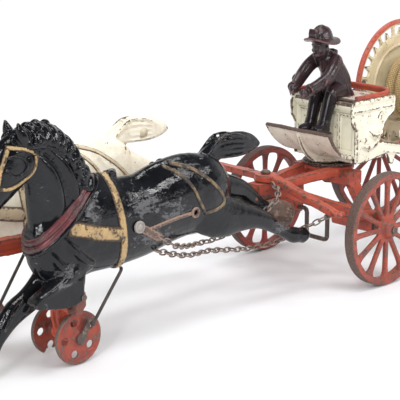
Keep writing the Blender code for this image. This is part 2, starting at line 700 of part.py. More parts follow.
# Hose reel
def reel_flange(name, sign):
    """A dished disc with a ring of windows, each with a small tooth."""
    inner = sign * REEL_HALF_WIDTH
    half = FLANGE_THICK / 2
    cone = DRUM_R + 2 * HOSE_R + 2.5 * MM
    profile = [(REEL_AXLE_R + SEAT_GAP, half + 1.2 * MM), (7 * MM, half + 1.2 * MM), (9 * MM, half),
               (REEL_R - REEL_RIM, half), (REEL_R - REEL_RIM / 2, half + 0.8 * MM), (REEL_R, half),
               (REEL_R, -half), (REEL_R - REEL_RIM / 2, -half - 0.8 * MM), (REEL_R - REEL_RIM, -half),
               (cone + 3 * MM, -half), (cone, -half - 0.5 * MM), (REEL_AXLE_R + SEAT_GAP, -half)]
    centre = (REEL_X, inner + sign * half, REEL_Z)
    flange = turned(name, profile, centre, sign, 24)
    pitch = 2 * math.pi / OPENINGS
    wide = pitch * 0.36
    tooth = wide * 0.28
    shape = [(OPENING_INNER, -wide), (OPENING_INNER, -tooth), (OPENING_INNER + 4.5 * MM, 0),
             (OPENING_INNER, tooth), (OPENING_INNER, wide), (OPENING_OUTER, wide * 0.8),
             (OPENING_OUTER, -wide * 0.8)]
    bm = bmesh.new()
    for k in range(OPENINGS):
        rings = []
        for depth in (-5 * MM, 5 * MM):
            rings.append([bm.verts.new((REEL_X + r * math.cos(pitch * k + a), centre[1] + depth,
                                        REEL_Z + r * math.sin(pitch * k + a))) for r, a in shape])
        count = len(shape)
        for i in range(count):
            j = (i + 1) % count
            bm.faces.new((rings[0][i], rings[0][j], rings[1][j], rings[1][i]))
        bm.faces.new(rings[0])
        bm.faces.new(rings[1])
    return cut(flange, from_bmesh(name + "_windows", bm))


finish(reel_flange("near_reel_flange", -1), CREAM, REEL)
finish(reel_flange("far_reel_flange", 1), CREAM, REEL)
drum_end = REEL_HALF_WIDTH - SEAT_GAP
drum_profile = [(REEL_AXLE_R + SEAT_GAP, drum_end), (DRUM_R, drum_end), (DRUM_R, -drum_end),
                (REEL_AXLE_R + SEAT_GAP, -drum_end)]
finish(turned("reel_drum", drum_profile, (REEL_X, 0, REEL_Z), -1, 16), CREAM, REEL)
reel_end = BODY_HALF_WIDTH + SEAT_GAP
reel_axle = headed_pin("reel_axle", (REEL_X, -reel_end, REEL_Z), (REEL_X, reel_end, REEL_Z),
                       REEL_AXLE_R, 4 * MM, 1.8 * MM)
finish(reel_axle, IRON, REEL)


def hose_winding():
    """One unbroken hose wound side by side over the drum."""
    radius = DRUM_R + SEAT_GAP + HOSE_R
    room = 2 * (REEL_HALF_WIDTH - HOSE_R - 1 * MM)
    pitch = room / HOSE_TURNS
    steps = HOSE_TURNS * 24
    points = []
    for i in range(steps + 1):
        turn = i / 24
        angle = 2 * math.pi * turn
        points.append(Vector((REEL_X + radius * math.cos(angle), -room / 2 + pitch * turn,
                              REEL_Z + radius * math.sin(angle))))
    last = points[-1] + (points[-1] - points[-2]).normalized() * 2 * HOSE_R
    first = points[0] + (points[0] - points[1]).normalized() * 2 * HOSE_R
    points = [first] + points + [last]
    gap = min((points[i] - points[j]).length for i in range(len(points))
              for j in range(i + 18, len(points))) - 2 * HOSE_R
    print("hose: least gap to itself %.2f mm" % (gap / MM))
    return tube("hose_winding", points, HOSE_R, 1)


finish(hose_winding(), HOSE, REEL, 60)


# Team: each horse is two half castings riveted together
BODY_FORM = [(-276, 84, 20, 9), (-268, 82, 28, 12), (-255, 83, 30, 13.5), (-240, 84, 30, 14),
             (-222, 81, 27.5, 14.5), (-200, 82, 26, 15), (-182, 86.5, 26, 14.5), (-165, 88, 26, 14.5),
             (-150, 86, 25, 13.5), (-138, 83, 20, 11), (-130, 80, 12, 6)]
NECK_FORM = [(-255, 90, 27, 12), (-261, 108, 22, 11), (-267, 124, 17.5, 9.5), (-273, 137, 13, 8),
             (-280, 143, 9, 6)]
HEAD_FORM = [(-280, 141, 9, 6), (-288, 131, 15, 8.5), (-297, 121, 12.5, 7.5), (-306, 111, 9.5, 6),
             (-312, 104, 8.5, 6)]
TAIL_FORM = [(-154, 106, 6, 5), (-143, 111, 5.5, 4.5), (-134, 114, 7.5, 5), (-122, 114.5, 8.5, 5),
             (-110, 111.5, 6, 4), (-100, 108.5, 2, 2)]
OUTER_HIND = [(-152, 80, 22, 7, 6), (-136, 69, 14, 6.5, 7.5), (-118, 67.5, 9.5, 5.5, 8),
              (-102, 61.5, 6, 4.5, 8), (-90, 54.5, 4.8, 4.2, 8), (-80, 48.5, 4.6, 4.2, 8),
              (-71, 45.5, 5.8, 5, 8), (-65, 44, 5.5, 5, 8)]
INNER_HIND = [(-148, 90, 18, 7, 6), (-124, 84, 10, 6, 7.5), (-108, 80, 7.5, 5, 8), (-97, 72, 6, 4.6, 8),
              (-86, 65, 4.6, 4.2, 8), (-79, 61.5, 6.5, 5, 8), (-68, 57, 8.5, 5.5, 8),
              (-60, 53.5, 7.6, 5.5, 8)]
LEAD_FORE = [(-256, 64, 14, 6.5, 6), (-271, 48, 9, 5.5, 7.5), (-284, 41.5, 7.5, 5, 8),
             (-295, 33.5, 6, 4.5, 8), (-304, 21.5, 4.8, 4.2, 8), (-309, 13, 6, 5, 8),
             (-312, 7.5, 6.5, 5.2, 8)]
FOLDED_FORE = [(-256, 68, 15, 6.5, 6), (-268, 57.5, 10.5, 6, 7.5), (-279, 51, 6.2, 5.4, 8)]
FOLDED_SHIN = [(-281, 49, 5.8, 5.4, 8), (-267, 46.6, 6, 5.4, 8), (-256, 47, 6.6, 5.5, 8),
               (-250, 49.5, 6.6, 5.3, 8)]
SEAM_PIN = (-213, 80)
PIN_BLOCK = (-253, 45)


def ear(y):
    return loft("ear", [(-283, 141, 4, 2.6, y), (-287, 147, 3, 2, y), (-290, 152, 1, 0.8, y)])


def flip(stations, side):
    """Set the sideways place of a limb's stations: -1 is the horse's near half."""
    return [(x, z, high, wide, side * y) for x, z, high, wide, y in stations]


def horse_casting():
    """The whole near horse about its own centre plane."""
    pieces = [loft("barrel", BODY_FORM, sides=16), loft("neck", NECK_FORM, sides=16),
              loft("head", HEAD_FORM), loft("tail", TAIL_FORM), ear(-4), ear(4),
              loft("outer_hind", flip(OUTER_HIND, -1)), loft("inner_hind", flip(INNER_HIND, 1)),
              loft("lead_fore", flip(LEAD_FORE, 1)), loft("folded_fore", flip(FOLDED_FORE, -1)),
              loft("folded_shin", flip(FOLDED_SHIN, -1))]
    mane = [(-246, 121), (-253, 132), (-260, 141), (-269, 148), (-279, 150), (-288, 144)]
    pieces.append(tube("mane", smooth_points([(x * MM, 0, z * MM) for x, z in mane], 12), 3.4 * MM))
    collar = []
    for k in range(24):
        angle = 2 * math.pi * k / 24
        reach = 26.5 * math.cos(angle)
        collar.append(((-257.5 + 0.773 * reach) * MM, 14.2 * math.sin(angle) * MM,
                       (97.5 + 0.634 * reach) * MM))
    pieces.append(tube("collar", collar + collar[:2], 2.6 * MM))
    terret = rod("terret", (-219 * MM, 0, 104 * MM), (-219 * MM, 0, 112.5 * MM), 4 * MM, 12)
    pieces.append(terret)
    return fuse("horse", pieces, 1.5 * MM, 1060)


def horse_halves(label, whole, side, shift, mat, body):
    """Split the casting at its seam, bore it for its pins and set it in place."""
    place = Vector((0, side * HORSE_Y, 0)) + shift
    seam = SPLIT_GAP / 2
    reach = 60 * MM
    nodes = []
    for half, low, high in (("outer", -reach, -seam), ("inner", seam, reach)):
        piece = copied(whole, label + "_horse_" + half + "_half")
        keep = box("keep", (-0.4, low, -0.1), (0.1, high, 0.3))
        name = piece.name
        piece = boolean(piece, keep, "INTERSECT")
        piece.name = name
        x, z = (value * MM for value in SEAM_PIN)
        piece = cut(piece, rod("bore", (x, -reach, z), (x, reach, z), RIVET_R + SEAT_GAP, 12))
        if half == "inner":
            pin = NEAR_PIN
            piece = cut(piece, rod("draft_bore", (pin.x, 1 * MM, pin.z), (pin.x, reach, pin.z),
                                   DRAFT_PIN_R + RUN_GAP, 12))
        else:
            x, z = (value * MM for value in PIN_BLOCK)
            slot_y = -8 * MM
            half_slot = 2.6 * MM
            piece = cut(piece,
                        box("slot", (x - 12 * MM, slot_y - half_slot, z - 20 * MM),
                            (x + 30 * MM, slot_y + half_slot, z + 4.5 * MM)),
                        rod("slot_bore", (x, -reach, z), (x, -seam * 2, z),
                            BRACKET_PIN_R + SEAT_GAP, 10))
        if side > 0:
            other = mirrored(piece, "swap")
            bpy.data.objects.remove(piece, do_unlink=True)
            other.name = name
            piece = other
        piece.data.transform(Matrix.Translation(place))
        nodes.append(finish(piece, mat, body, 50))
    return nodes


def trolley(label, side, shift, body_horse):
    """The small two wheeled truck under a horse's folded foreleg, its crank and rod."""
    pin_x = PIN_BLOCK[0] * MM + shift.x
    pin_z = PIN_BLOCK[1] * MM + shift.z
    leg_y = side * (HORSE_Y + 8 * MM)
    mid_y = side * HORSE_Y + TROLLEY_SHIFT
    x = TROLLEY_X + shift.x
    z = TROLLEY_R
    swing = pivot(label + "_trolley_swing", (pin_x, leg_y, pin_z), body_horse)
    spin = pivot(label + "_trolley_spin", (x, mid_y, z), swing)
    tongue_half = 2 * MM
    wheel_in = TROLLEY_HALF - TROLLEY_TREAD - 0.5 * MM
    hub_half = wheel_in - 1.5 * MM
    shelf_z = 2 * TROLLEY_R + 1 * MM
    outline = [(-3.7, shelf_z + 1 * MM), (0.3, shelf_z + 1 * MM), (4, pin_z - 6.5 * MM), (4, pin_z), (2.8, pin_z + 2.8 * MM),
               (0, pin_z + 4 * MM), (-2.8, pin_z + 2.8 * MM), (-4, pin_z)]
    tongue = plate("tongue", [(pin_x + dx * MM, height) for dx, height in outline],
                   leg_y - tongue_half, leg_y + tongue_half)
    web_half = 2.75 * MM
    shelf_ends = (leg_y - tongue_half, leg_y + tongue_half, mid_y - web_half, mid_y + web_half)
    shelf = box("shelf", (pin_x - 4 * MM, min(shelf_ends) - 0.5 * MM, shelf_z - 0.2 * MM),
                (pin_x + 0.6 * MM, max(shelf_ends) + 0.5 * MM, shelf_z + 3 * MM))
    web = plate("web", [(x - 3.7 * MM, z), (x + 3.7 * MM, z), (pin_x + 0.9 * MM, shelf_z + 1.6 * MM),
                        (pin_x - 3.4 * MM, shelf_z + 1.6 * MM)], mid_y - web_half, mid_y + web_half)
    hub = rod("hub", (x, mid_y - hub_half, z), (x, mid_y + hub_half, z), 4.5 * MM, 16)
    bracket = join(label + "_trolley_bracket", [hub, web, shelf, tongue])
    bracket = cut(bracket, rod("bore", (x, -70 * MM, z), (x, 70 * MM, z), AXLE_R + RUN_GAP, 12),
                  rod("pin_bore", (pin_x, leg_y - 6 * MM, pin_z), (pin_x, leg_y + 6 * MM, pin_z),
                      BRACKET_PIN_R + RUN_GAP, 10))
    finish(bracket, RED, swing)
    pin = rod(label + "_bracket_pin", (pin_x, leg_y - 5.2 * MM, pin_z), (pin_x, leg_y + 5.2 * MM, pin_z),
              BRACKET_PIN_R, 10)
    finish(pin, IRON, body_horse)

    half = TROLLEY_TREAD / 2
    profile = [(AXLE_R + SEAT_GAP, half + 0.8 * MM), (4 * MM, half + 0.8 * MM), (4.5 * MM, half),
               (TROLLEY_R, half), (TROLLEY_R, -half), (AXLE_R + SEAT_GAP, -half)]
    for place, sign in (("outer", side), ("inner", -side)):
        wheel_y = mid_y + sign * (TROLLEY_HALF - half)
        name = "%s_trolley_%s_wheel" % (label, place)
        wheel = turned(name, profile, (x, wheel_y, z), sign, 20)
        holes = []
        for k in range(TROLLEY_HOLES):
            angle = math.radians(360 * k / TROLLEY_HOLES + 18)
            hx = x + TROLLEY_R * 0.62 * math.cos(angle)
            hz = z + TROLLEY_R * 0.62 * math.sin(angle)
            holes.append(rod("hole", (hx, wheel_y - 5 * MM, hz), (hx, wheel_y + 5 * MM, hz), 2.5 * MM, 6))
        if place == "inner" and side < 0:
            chip = math.radians(-55)
            cx = x + TROLLEY_R * math.cos(chip)
            cz = z + TROLLEY_R * math.sin(chip)
            holes.append(rod("chip", (cx, wheel_y - 5 * MM, cz), (cx, wheel_y + 5 * MM, cz), 6 * MM, 9))
        finish(cut(wheel, *holes), RED, spin)

    # Both small cranks are on the near face of their trolleys.
    crank_in = mid_y + TROLLEY_HALF + 2.3 * MM
    face = mid_y - TROLLEY_HALF - 1.1 * MM
    arm_out = face - 2.2 * MM
    angle = math.radians(90 - GALLOP_ANGLE)
    px = x + GALLOP_THROW * math.cos(angle)
    pz = z + GALLOP_THROW * math.sin(angle)
    axle = join(label + "_trolley_axle", [
        rod("axle", (x, crank_in, z), (x, arm_out + 0.2 * MM, z), AXLE_R),
        rod("inner_cap", (x, crank_in, z), (x, crank_in - 1.2 * MM, z), 3 * MM),
        bar("arm", (x, (face + arm_out) / 2, z), (px, (face + arm_out) / 2, pz), 1.7 * MM, 3.4 * MM),
        rod("boss", (x, face, z), (x, arm_out, z), 3.2 * MM),
        rod("crank_pin", (px, face, pz), (px, arm_out - 1.2 * MM, pz), 1.5 * MM)])
    finish(axle, IRON, spin)

    rod_y = arm_out - 1.2 * MM - ROD_GAP - ROD_R
    top = Vector((-217 * MM + shift.x, side * HORSE_Y - 2.5 * MM, 53.3 * MM + shift.z))
    link = pivot(label + "_rod_swing", top, body_horse)
    low = Vector((px, rod_y, pz))
    straight = low + Vector((top.x - low.x, 0, top.z - low.z)) * 0.3
    line = [top, top + Vector((-0.6 * MM, -0.4 * MM, -3 * MM)), top * 0.55 + straight * 0.45, straight, low]
    wire = tube(label + "_gallop_rod", smooth_points(line, 8), ROD_R, 1)
    eye = rod("eye", (px, rod_y - ROD_R, pz), (px, rod_y + ROD_R, pz), 2.6 * MM, 12)
    finish(join(label + "_gallop_rod", [wire, eye]), IRON, link)


whole_horse = horse_casting()
for label, side, shift, mat in (("near", -1, Vector((0, 0, 0)), BLACK),
                                ("far", 1, Vector((FAR_DX, 0, FAR_DZ)), WHITE)):
    pin = NEAR_PIN + shift
    gallop = pivot(label + "_gallop", (pin.x, side * HORSE_Y, pin.z), FORE)
    horse_halves(label, whole_horse, side, shift, mat, gallop)
    rx = SEAM_PIN[0] * MM + shift.x
    rz = SEAM_PIN[1] * MM + shift.z
    reach = 15.6 * MM
    rivet = headed_pin(label + "_horse_rivet", (rx, side * HORSE_Y - reach, rz),
                       (rx, side * HORSE_Y + reach, rz), RIVET_R, 3.6 * MM, 1.6 * MM)
    finish(rivet, IRON, gallop)
    trolley(label, side, shift, gallop)
bpy.data.objects.remove(whole_horse, do_unlink=True)


# Driver
def driver():
    """A seated figure in a brimmed hat, hands resting on the knees."""
    seat = SEAT_TOP_Z / MM + 0.3
    pieces = [
        loft("torso", [(17, seat + 6, 12, 11), (20, seat + 10, 12, 11), (16, seat + 20, 10.5, 10),
                       (8, seat + 29, 8, 9), (3, seat + 33, 5, 6)]),
        loft("head", [(-1, seat + 31, 6, 5), (-4, seat + 38, 6.5, 5.5), (-4, seat + 43, 5.5, 5)]),
        loft("crown", [(-4, seat + 41, 9, 8), (-4.5, seat + 47, 8, 7), (-5, seat + 51, 5, 5)]),
    ]
    brim = rod("brim", (-2 * MM, 0, (seat + 39.5) * MM), (-3 * MM, 0, (seat + 42) * MM), 15 * MM, 18)
    pieces.append(brim)
    for sign in (-1, 1):
        y = sign * 8
        pieces.append(loft("arm", [(5, seat + 27, 5, 4, y * 1.1), (-4, seat + 18, 4.5, 3.8, y * 1.25),
                                   (-16, seat + 12, 4.2, 3.6, y * 0.9), (-26, seat + 10.5, 3.8, 3.6, y * 0.6)]))
        pieces.append(loft("thigh", [(18, seat + 6, 6, 5.5, y * 0.75), (4, seat + 6, 5.8, 5.2, y * 0.9),
                                     (-5, seat + 4.5, 5.8, 5, y)]))
        pieces.append(loft("shin", [(-5, seat + 6, 5.6, 5, y), (-7, seat - 4, 5, 4.6, y * 1.02),
                                    (-8.5, seat - 13, 4.4, 4.3, y * 1.04), (-9.5, 104, 4, 4, y * 1.06)]))
        pieces.append(loft("shoe", [(-7, 103, 3.6, 3.8, y * 1.06), (-13, 103.4, 3.4, 4, y * 1.08),
                                    (-19, 104.6, 2.6, 3.4, y * 1.1)]))
    figure = fuse("driver", pieces, 1.2 * MM, 700)
    seat_block = box("seat_block", (-1.5 * MM, -0.05, 0.06), (0.1, 0.05, SEAT_TOP_Z + SEAT_GAP))
    return cut(figure, seat_block)


finish(driver(), BROWN, ROOT, 50)


# Trace chains: each one a single string of upright rings with short joints between them
def chain(name, route, body):
    """A pierced strip, drawn flat and then laid along its hanging line."""
    points = smooth_points([[value * MM for value in place] for place in route], 160)
    travelled = [0.0]
    for a, b in zip(points, points[1:]):
        travelled.append(travelled[-1] + (b - a).length)
    count = int(round(travelled[-1] / LINK_PITCH))
    pitch = travelled[-1] / count
    neck = LINK_WIRE * 0.7
    upper = []
    holes = []
    for k in range(count):
        middle = pitch * (k + 0.5)
        upper += [(middle - LINK_LONG, neck), (middle - LINK_LONG * 0.5, LINK_R),
                  (middle + LINK_LONG * 0.5, LINK_R), (middle + LINK_LONG, neck)]
        long = LINK_LONG - 2 * LINK_WIRE
        high = LINK_R - 2 * LINK_WIRE * 0.6
        holes.append([(middle - long, 0), (middle, high), (middle + long, 0), (middle, -high)])
    outline = upper + [(a, -b) for a, b in reversed(upper)]
    strip = plate(name, outline, -LINK_WIRE, LINK_WIRE, holes=holes)
    for vert in strip.data.vertices:
        want = min(max(vert.co.x, 0), travelled[-1])
        i = max(n for n in range(len(points) - 1) if travelled[n] <= want)
        step = travelled[i + 1] - travelled[i]
        share = (want - travelled[i]) / step
        along = (points[i + 1] - points[i]).normalized()
        up = Vector((0, 1, 0)).cross(along).normalized()
        up = -up if up.z < 0 else up
        across = along.cross(up)
        vert.co = points[i].lerp(points[i + 1], share) + up * vert.co.z + across * vert.co.y
    bm = bmesh.new()
    bm.from_mesh(strip.data)
    bpy.data.objects.remove(strip, do_unlink=True)
    finish(from_bmesh(name, bm), IRON, body)


def wire_stay():
    """Thin wire from the hitch back to the crank axle."""
    line = [(-52, 6, 61.2), (-45, 7.5, 56), (-31, 16, 47.5), (-23, 19.3, 43.2), (-12, 20, 39), (-3, 19.9, 37.2)]
    return tube("crank_stay", smooth_points([[v * MM for v in p] for p in line], 9), 0.9 * MM, 1)


finish(wire_stay(), IRON, FORE)
chain("near_trace_outer", [(-194, -40, 60), (-176, -38.6, 53.5), (-160, -36, 50), (-142.5, -31, 47.6), (-106.5, -30.5, 41.5),
                           (-80, -30.5, 41), (-60, -33, 45.5), (-53, -42, 51.5), (-48, -47.6, 56)], FORE)
chain("near_trace_inner", [(-195, -45.6, 69), (-183, -44.5, 62), (-166, -37, 57), (-152, -31, 54.5), (-140, -30.5, 54),
                           (-115, -30, 56.5), (-95, -30, 62.5), (-80, -29, 69), (-70, -21, 73),
                           (-66.6, -13.5, 74.5)], FORE)
chain("far_trace_outer", [(-221, 45.6, 74), (-209, 44.5, 66), (-190, 36, 60), (-165, 30.5, 57),
                          (-130, 30.5, 55), (-97, 31, 57), (-75, 38, 64), (-66, 50, 72),
                          (-62.5, 57.5, 75.6)], FORE)

for obj in list(bpy.data.objects):
    if obj.parent is None:
        obj.location = obj.location + ORIGIN_SHIFT
print("pieces", sum(1 for obj in PARTS.objects if obj.type == "MESH"),
      "triangles", sum(sum(len(p.vertices) - 2 for p in obj.data.polygons)
                       for obj in PARTS.objects if obj.type == "MESH"))
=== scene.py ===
import random
from math import atan2, copysign, cos, hypot, pi, radians, sin

import bmesh
import bpy
from mathutils import Matrix, Vector
from mathutils.bvhtree import BVHTree


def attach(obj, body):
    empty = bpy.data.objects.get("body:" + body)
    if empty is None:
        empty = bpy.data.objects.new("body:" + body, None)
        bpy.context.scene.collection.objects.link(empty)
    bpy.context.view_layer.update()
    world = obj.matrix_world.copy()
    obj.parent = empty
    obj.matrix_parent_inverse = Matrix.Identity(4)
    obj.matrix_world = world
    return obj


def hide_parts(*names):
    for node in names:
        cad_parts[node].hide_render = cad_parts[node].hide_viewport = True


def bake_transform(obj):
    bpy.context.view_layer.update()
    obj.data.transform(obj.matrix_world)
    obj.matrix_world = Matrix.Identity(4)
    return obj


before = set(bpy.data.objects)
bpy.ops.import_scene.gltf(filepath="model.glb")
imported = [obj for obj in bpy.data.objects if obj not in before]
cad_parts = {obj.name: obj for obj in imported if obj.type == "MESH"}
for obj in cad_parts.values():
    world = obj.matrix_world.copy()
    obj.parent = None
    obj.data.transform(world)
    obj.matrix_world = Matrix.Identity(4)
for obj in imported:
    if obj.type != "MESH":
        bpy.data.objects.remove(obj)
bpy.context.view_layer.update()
print("frame loaded")

# All shapes are drawn in millimetres, with x from the front axle, rearwards.
toy = {"aheadOfOrigin": 74.62, "horseY": 30.0, "farAhead": -26.0, "farUp": 5.0, "millimetre": 0.001}
middleX = toy["aheadOfOrigin"]
mm = toy["millimetre"]
square = ((-1, -1), (1, -1), (1, 1), (-1, 1))


class Form:
    # A bag of overlapping closed shapes that becomes one casting.
    def __init__(self):
        self.mesh = bmesh.new()

    def skin(self, rings, closed=False):
        made = [[self.mesh.verts.new(point) for point in ring] for ring in rings]
        for first, second in zip(made, made[1:] + made[:1] if closed else made[1:]):
            for i in range(len(first)):
                j = (i + 1) % len(first)
                self.mesh.faces.new((first[i], first[j], second[j], second[i]))
        if not closed:
            self.mesh.faces.new(made[0][::-1])
            self.mesh.faces.new(made[-1])
        return self

    def limb(self, stations, sides=20, per=4):
        # Oval sections along a bent line: x, z, half height, half width, y.
        rows = flow([(*row, *(0,) * (5 - len(row))) for row in stations], per)
        rings = []
        for i, (x, z, high, wide, y) in enumerate(rows):
            before, after = rows[max(i - 1, 0)], rows[min(i + 1, len(rows) - 1)]
            along = Vector((after[0] - before[0], 0, after[1] - before[1])).normalized()
            normal = Vector((-along.z, 0, along.x))
            centre = Vector((x, y, z))
            rings.append([centre + normal * high * cos(a) + Vector((0, wide * sin(a), 0))
                          for a in angles(sides)])
            if i in (0, len(rows) - 1):
                reach = along * min(high, wide) * (0.45 if i else -0.45)
                cap = [centre + reach + (point - centre) * 0.55 for point in rings[-1]]
                rings.insert(len(rings) if i else 0, cap)
        return self.skin(rings)

    def pipe(self, points, radius, sides=10, closed=False):
        points = [Vector(point) for point in points]
        count = len(points)
        rings = []
        side = Vector((0.3, 0.5, 0.8))
        for i, point in enumerate(points):
            before = points[i - 1] if closed or i else point
            after = points[(i + 1) % count] if closed or i < count - 1 else point
            along = (after - before).normalized()
            side = (side - along * side.dot(along)).normalized()
            other = along.cross(side)
            size = radius[i] if isinstance(radius, (list, tuple)) else radius
            rings.append([point + (side * cos(a) + other * sin(a)) * size for a in angles(sides)])
        return self.skin(rings, closed)

    def fold(self, points, per, thin, thick, sides, ends=1):
        # A smooth ridge that swells towards its middle.
        line = flow(points, per)
        spans = len(line) - 1 + 2 * ends
        return self.pipe(line, [thin + thick * sin(pi * (i + ends) / spans) for i in range(len(line))], sides)

    def spindle(self, start, end, radius, sides=28, endRadius=None):
        return self.pipe([start, end], [radius, radius if endRadius is None else endRadius], sides)

    def beam(self, start, end, wide, high, endWide=None, endHigh=None):
        start, end = Vector(start), Vector(end)
        along = (end - start).normalized()
        side = along.cross(Vector((0, 0, 1)))
        side = side.normalized() if side.length > 0.01 else Vector((0, 1, 0))
        up = side.cross(along)
        sizes = ((start, wide, high), (end, endWide or wide, endHigh or high))
        return self.skin([[point + side * a * w / 2 + up * b * h / 2 for a, b in square]
                          for point, w, h in sizes])

    def slab(self, low, high):
        y, z = ((low[k] + high[k]) / 2 for k in (1, 2))
        return self.beam((low[0], y, z), (high[0], y, z), high[1] - low[1], high[2] - low[2])

    def prism(self, outline, low, high, plane="XZ"):
        rings = [[(a, c, b) if plane == "XZ" else (a, b, c) for a, b in outline] for c in (low, high)]
        return self.skin(rings)

    def spin(self, profile, centre, side, steps):
        # A closed profile of (radius, outward) turned about the Y direction.
        return self.skin([[Vector(centre) + Vector((r * cos(a), side * y, r * sin(a))) for r, y in profile]
                          for a in angles(steps)], True)

    def turned(self, profile, centre, steps):
        # A closed profile of (radius, height) turned about the upright direction.
        return self.skin([[Vector(centre) + Vector((r * cos(a), -r * sin(a), z)) for r, z in profile]
                          for a in angles(steps)], True)

    def ball(self, centre, radii, tilt=0, sides=20):
        turn = Matrix.Rotation(radians(tilt), 3, "Y")
        wide, deep, high = radii
        levels = [pi * i / 12 for i in range(1, 12)]
        return self.skin([[turn @ Vector((wide * sin(a) * cos(t), deep * sin(a) * sin(t), -high * cos(a)))
                           + Vector(centre) for t in angles(sides)] for a in levels])

    def add(self, name):
        # The shapes as they are, placed in the frame.
        bmesh.ops.recalc_face_normals(self.mesh, faces=self.mesh.faces)
        for vert in self.mesh.verts:
            vert.co = Vector((vert.co.x + middleX, vert.co.y, vert.co.z)) * mm
        mesh = bpy.data.meshes.new(name)
        self.mesh.to_mesh(mesh)
        self.mesh.free()
        mesh.shade_smooth()
        return shown(name, mesh)

    def cast(self, name, grain, soften):
        return melted(self.add(name), grain, soften)

    def make(self, name, grain, soften, body, finish, slot, *nodes, **dabs):
        # One finished casting; the dabs are amounts painted on its vertices.
        piece = self.cast(name, grain, soften)
        for layer, amount in dabs.items():
            dab(piece, layer, amount)
        return settle(piece, body, finish, nodes)


def shown(name, data):
    made = bpy.data.objects.new(name, data)
    bpy.context.scene.collection.objects.link(made)
    return made


def melted(piece, grain, soften=0):
    # Melts the shapes into one casting with soft inner corners.
    melt = piece.modifiers.new("melt", "REMESH")
    melt.mode = "VOXEL"
    melt.voxel_size = grain * mm
    if soften:
        piece.modifiers.new("ease", "SMOOTH").iterations = soften
    return applied(piece)


def applied(piece):
    bpy.context.view_layer.update()
    mesh = bpy.data.meshes.new_from_object(piece.evaluated_get(bpy.context.evaluated_depsgraph_get()))
    piece.modifiers.clear()
    old = piece.data
    piece.data = mesh
    bpy.data.meshes.remove(old)
    mesh.shade_smooth()
    return piece


def angles(count):
    return [2 * pi * i / count for i in range(count)]


def mirrored(profile):
    return profile + [(r, -y) for r, y in reversed(profile)]


def onSide(points, side):
    return [(x, side * y, z) for x, y, z in points]


def squared(value, power):
    # Makes an oval squarer where the power is under 1.
    return copysign(abs(value) ** power, value)


def circle(centre, radius, count, out=0):
    # Points on an upright circle, moved sideways by out.
    return [Vector(centre) + Vector((radius * cos(a), out, radius * sin(a))) for a in angles(count)]


def spoke(a):
    # The directions along and across a spoke at an angle.
    return Vector((cos(a), 0, sin(a))), Vector((-sin(a), 0, cos(a)))


def arc(cx, cz, radius, start, end, count):
    turns = [radians(start + (end - start) * i / (count - 1)) for i in range(count)]
    return [(cx + radius * cos(a), cz + radius * sin(a)) for a in turns]


def flow(rows, per):
    # More rows on a smooth curve through the given ones.
    rows = [tuple(float(v) for v in row) for row in rows]
    first = tuple(2 * a - b for a, b in zip(rows[0], rows[1]))
    last = tuple(2 * a - b for a, b in zip(rows[-1], rows[-2]))
    ends = [first] + rows + [last]
    result = []
    for k in range(len(rows) - 1):
        for t in [i / per for i in range(per)]:
            result.append(tuple(0.5 * (2 * b + (c - a) * t + (2 * a - 5 * b + 4 * c - d) * t * t
                                       + (3 * b - a - 3 * c + d) * t ** 3)
                                for a, b, c, d in zip(*ends[k:k + 4])))
    return result + [rows[-1]]


def heading(line, i):
    # The direction of a line at one of its points.
    return (Vector(line[min(i + 1, len(line) - 1)]) - Vector(line[max(i - 1, 0)])).normalized()


def dab(piece, name, amount):
    # Stores a painted amount at every vertex, given its place in millimetres.
    layer = piece.data.attributes.new(name, "FLOAT", "POINT")
    places = [vert.co * 1000 for vert in piece.data.vertices]
    layer.data.foreach_set("value", [max(0.0, min(1.0, amount(place.x - middleX, place.y, place.z)))
                                     for place in places])


def settle(piece, body, finish, nodes=()):
    if body:
        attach(piece, body)
    if nodes:
        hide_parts(*nodes)
    piece.data.materials.clear()
    piece.data.materials.append(finishes[finish])
    return piece


def twin(piece, name, shift, across):
    # A copy of a piece, moved, and for the far horse put on the other side of the wagon.
    mesh = piece.data.copy()
    if across:
        mesh.transform(Matrix.Scale(-1, 4, (0, 1, 0)))
        mesh.flip_normals()
    mesh.transform(Matrix.Translation(Vector(shift) * mm))
    return shown(name, mesh)


class Tone:
    # One socket of a finish; sums on it add their nodes.
    def __init__(self, paint, socket):
        self.paint = paint
        self.socket = socket

    def sum(self, operation, first, second):
        flat = all(not isinstance(v, Tone) or v.socket.type == "VALUE" for v in (first, second))
        kind = "ShaderNodeMath" if flat else "ShaderNodeVectorMath"
        values = [v if isinstance(v, (Tone, tuple)) or flat else (v, v, v) for v in (first, second)]
        return self.paint.node(kind, {"operation": operation}, {0: values[0], 1: values[1]})

    def __add__(self, other):
        return self.sum("ADD", self, other)

    def __radd__(self, other):
        return self.sum("ADD", other, self)

    def __sub__(self, other):
        return self.sum("SUBTRACT", self, other)

    def __rsub__(self, other):
        return self.sum("SUBTRACT", other, self)

    def __mul__(self, other):
        return self.sum("MULTIPLY", self, other)

    def __rmul__(self, other):
        return self.sum("MULTIPLY", other, self)

    def most(self, other):
        return self.sum("MAXIMUM", self, other)


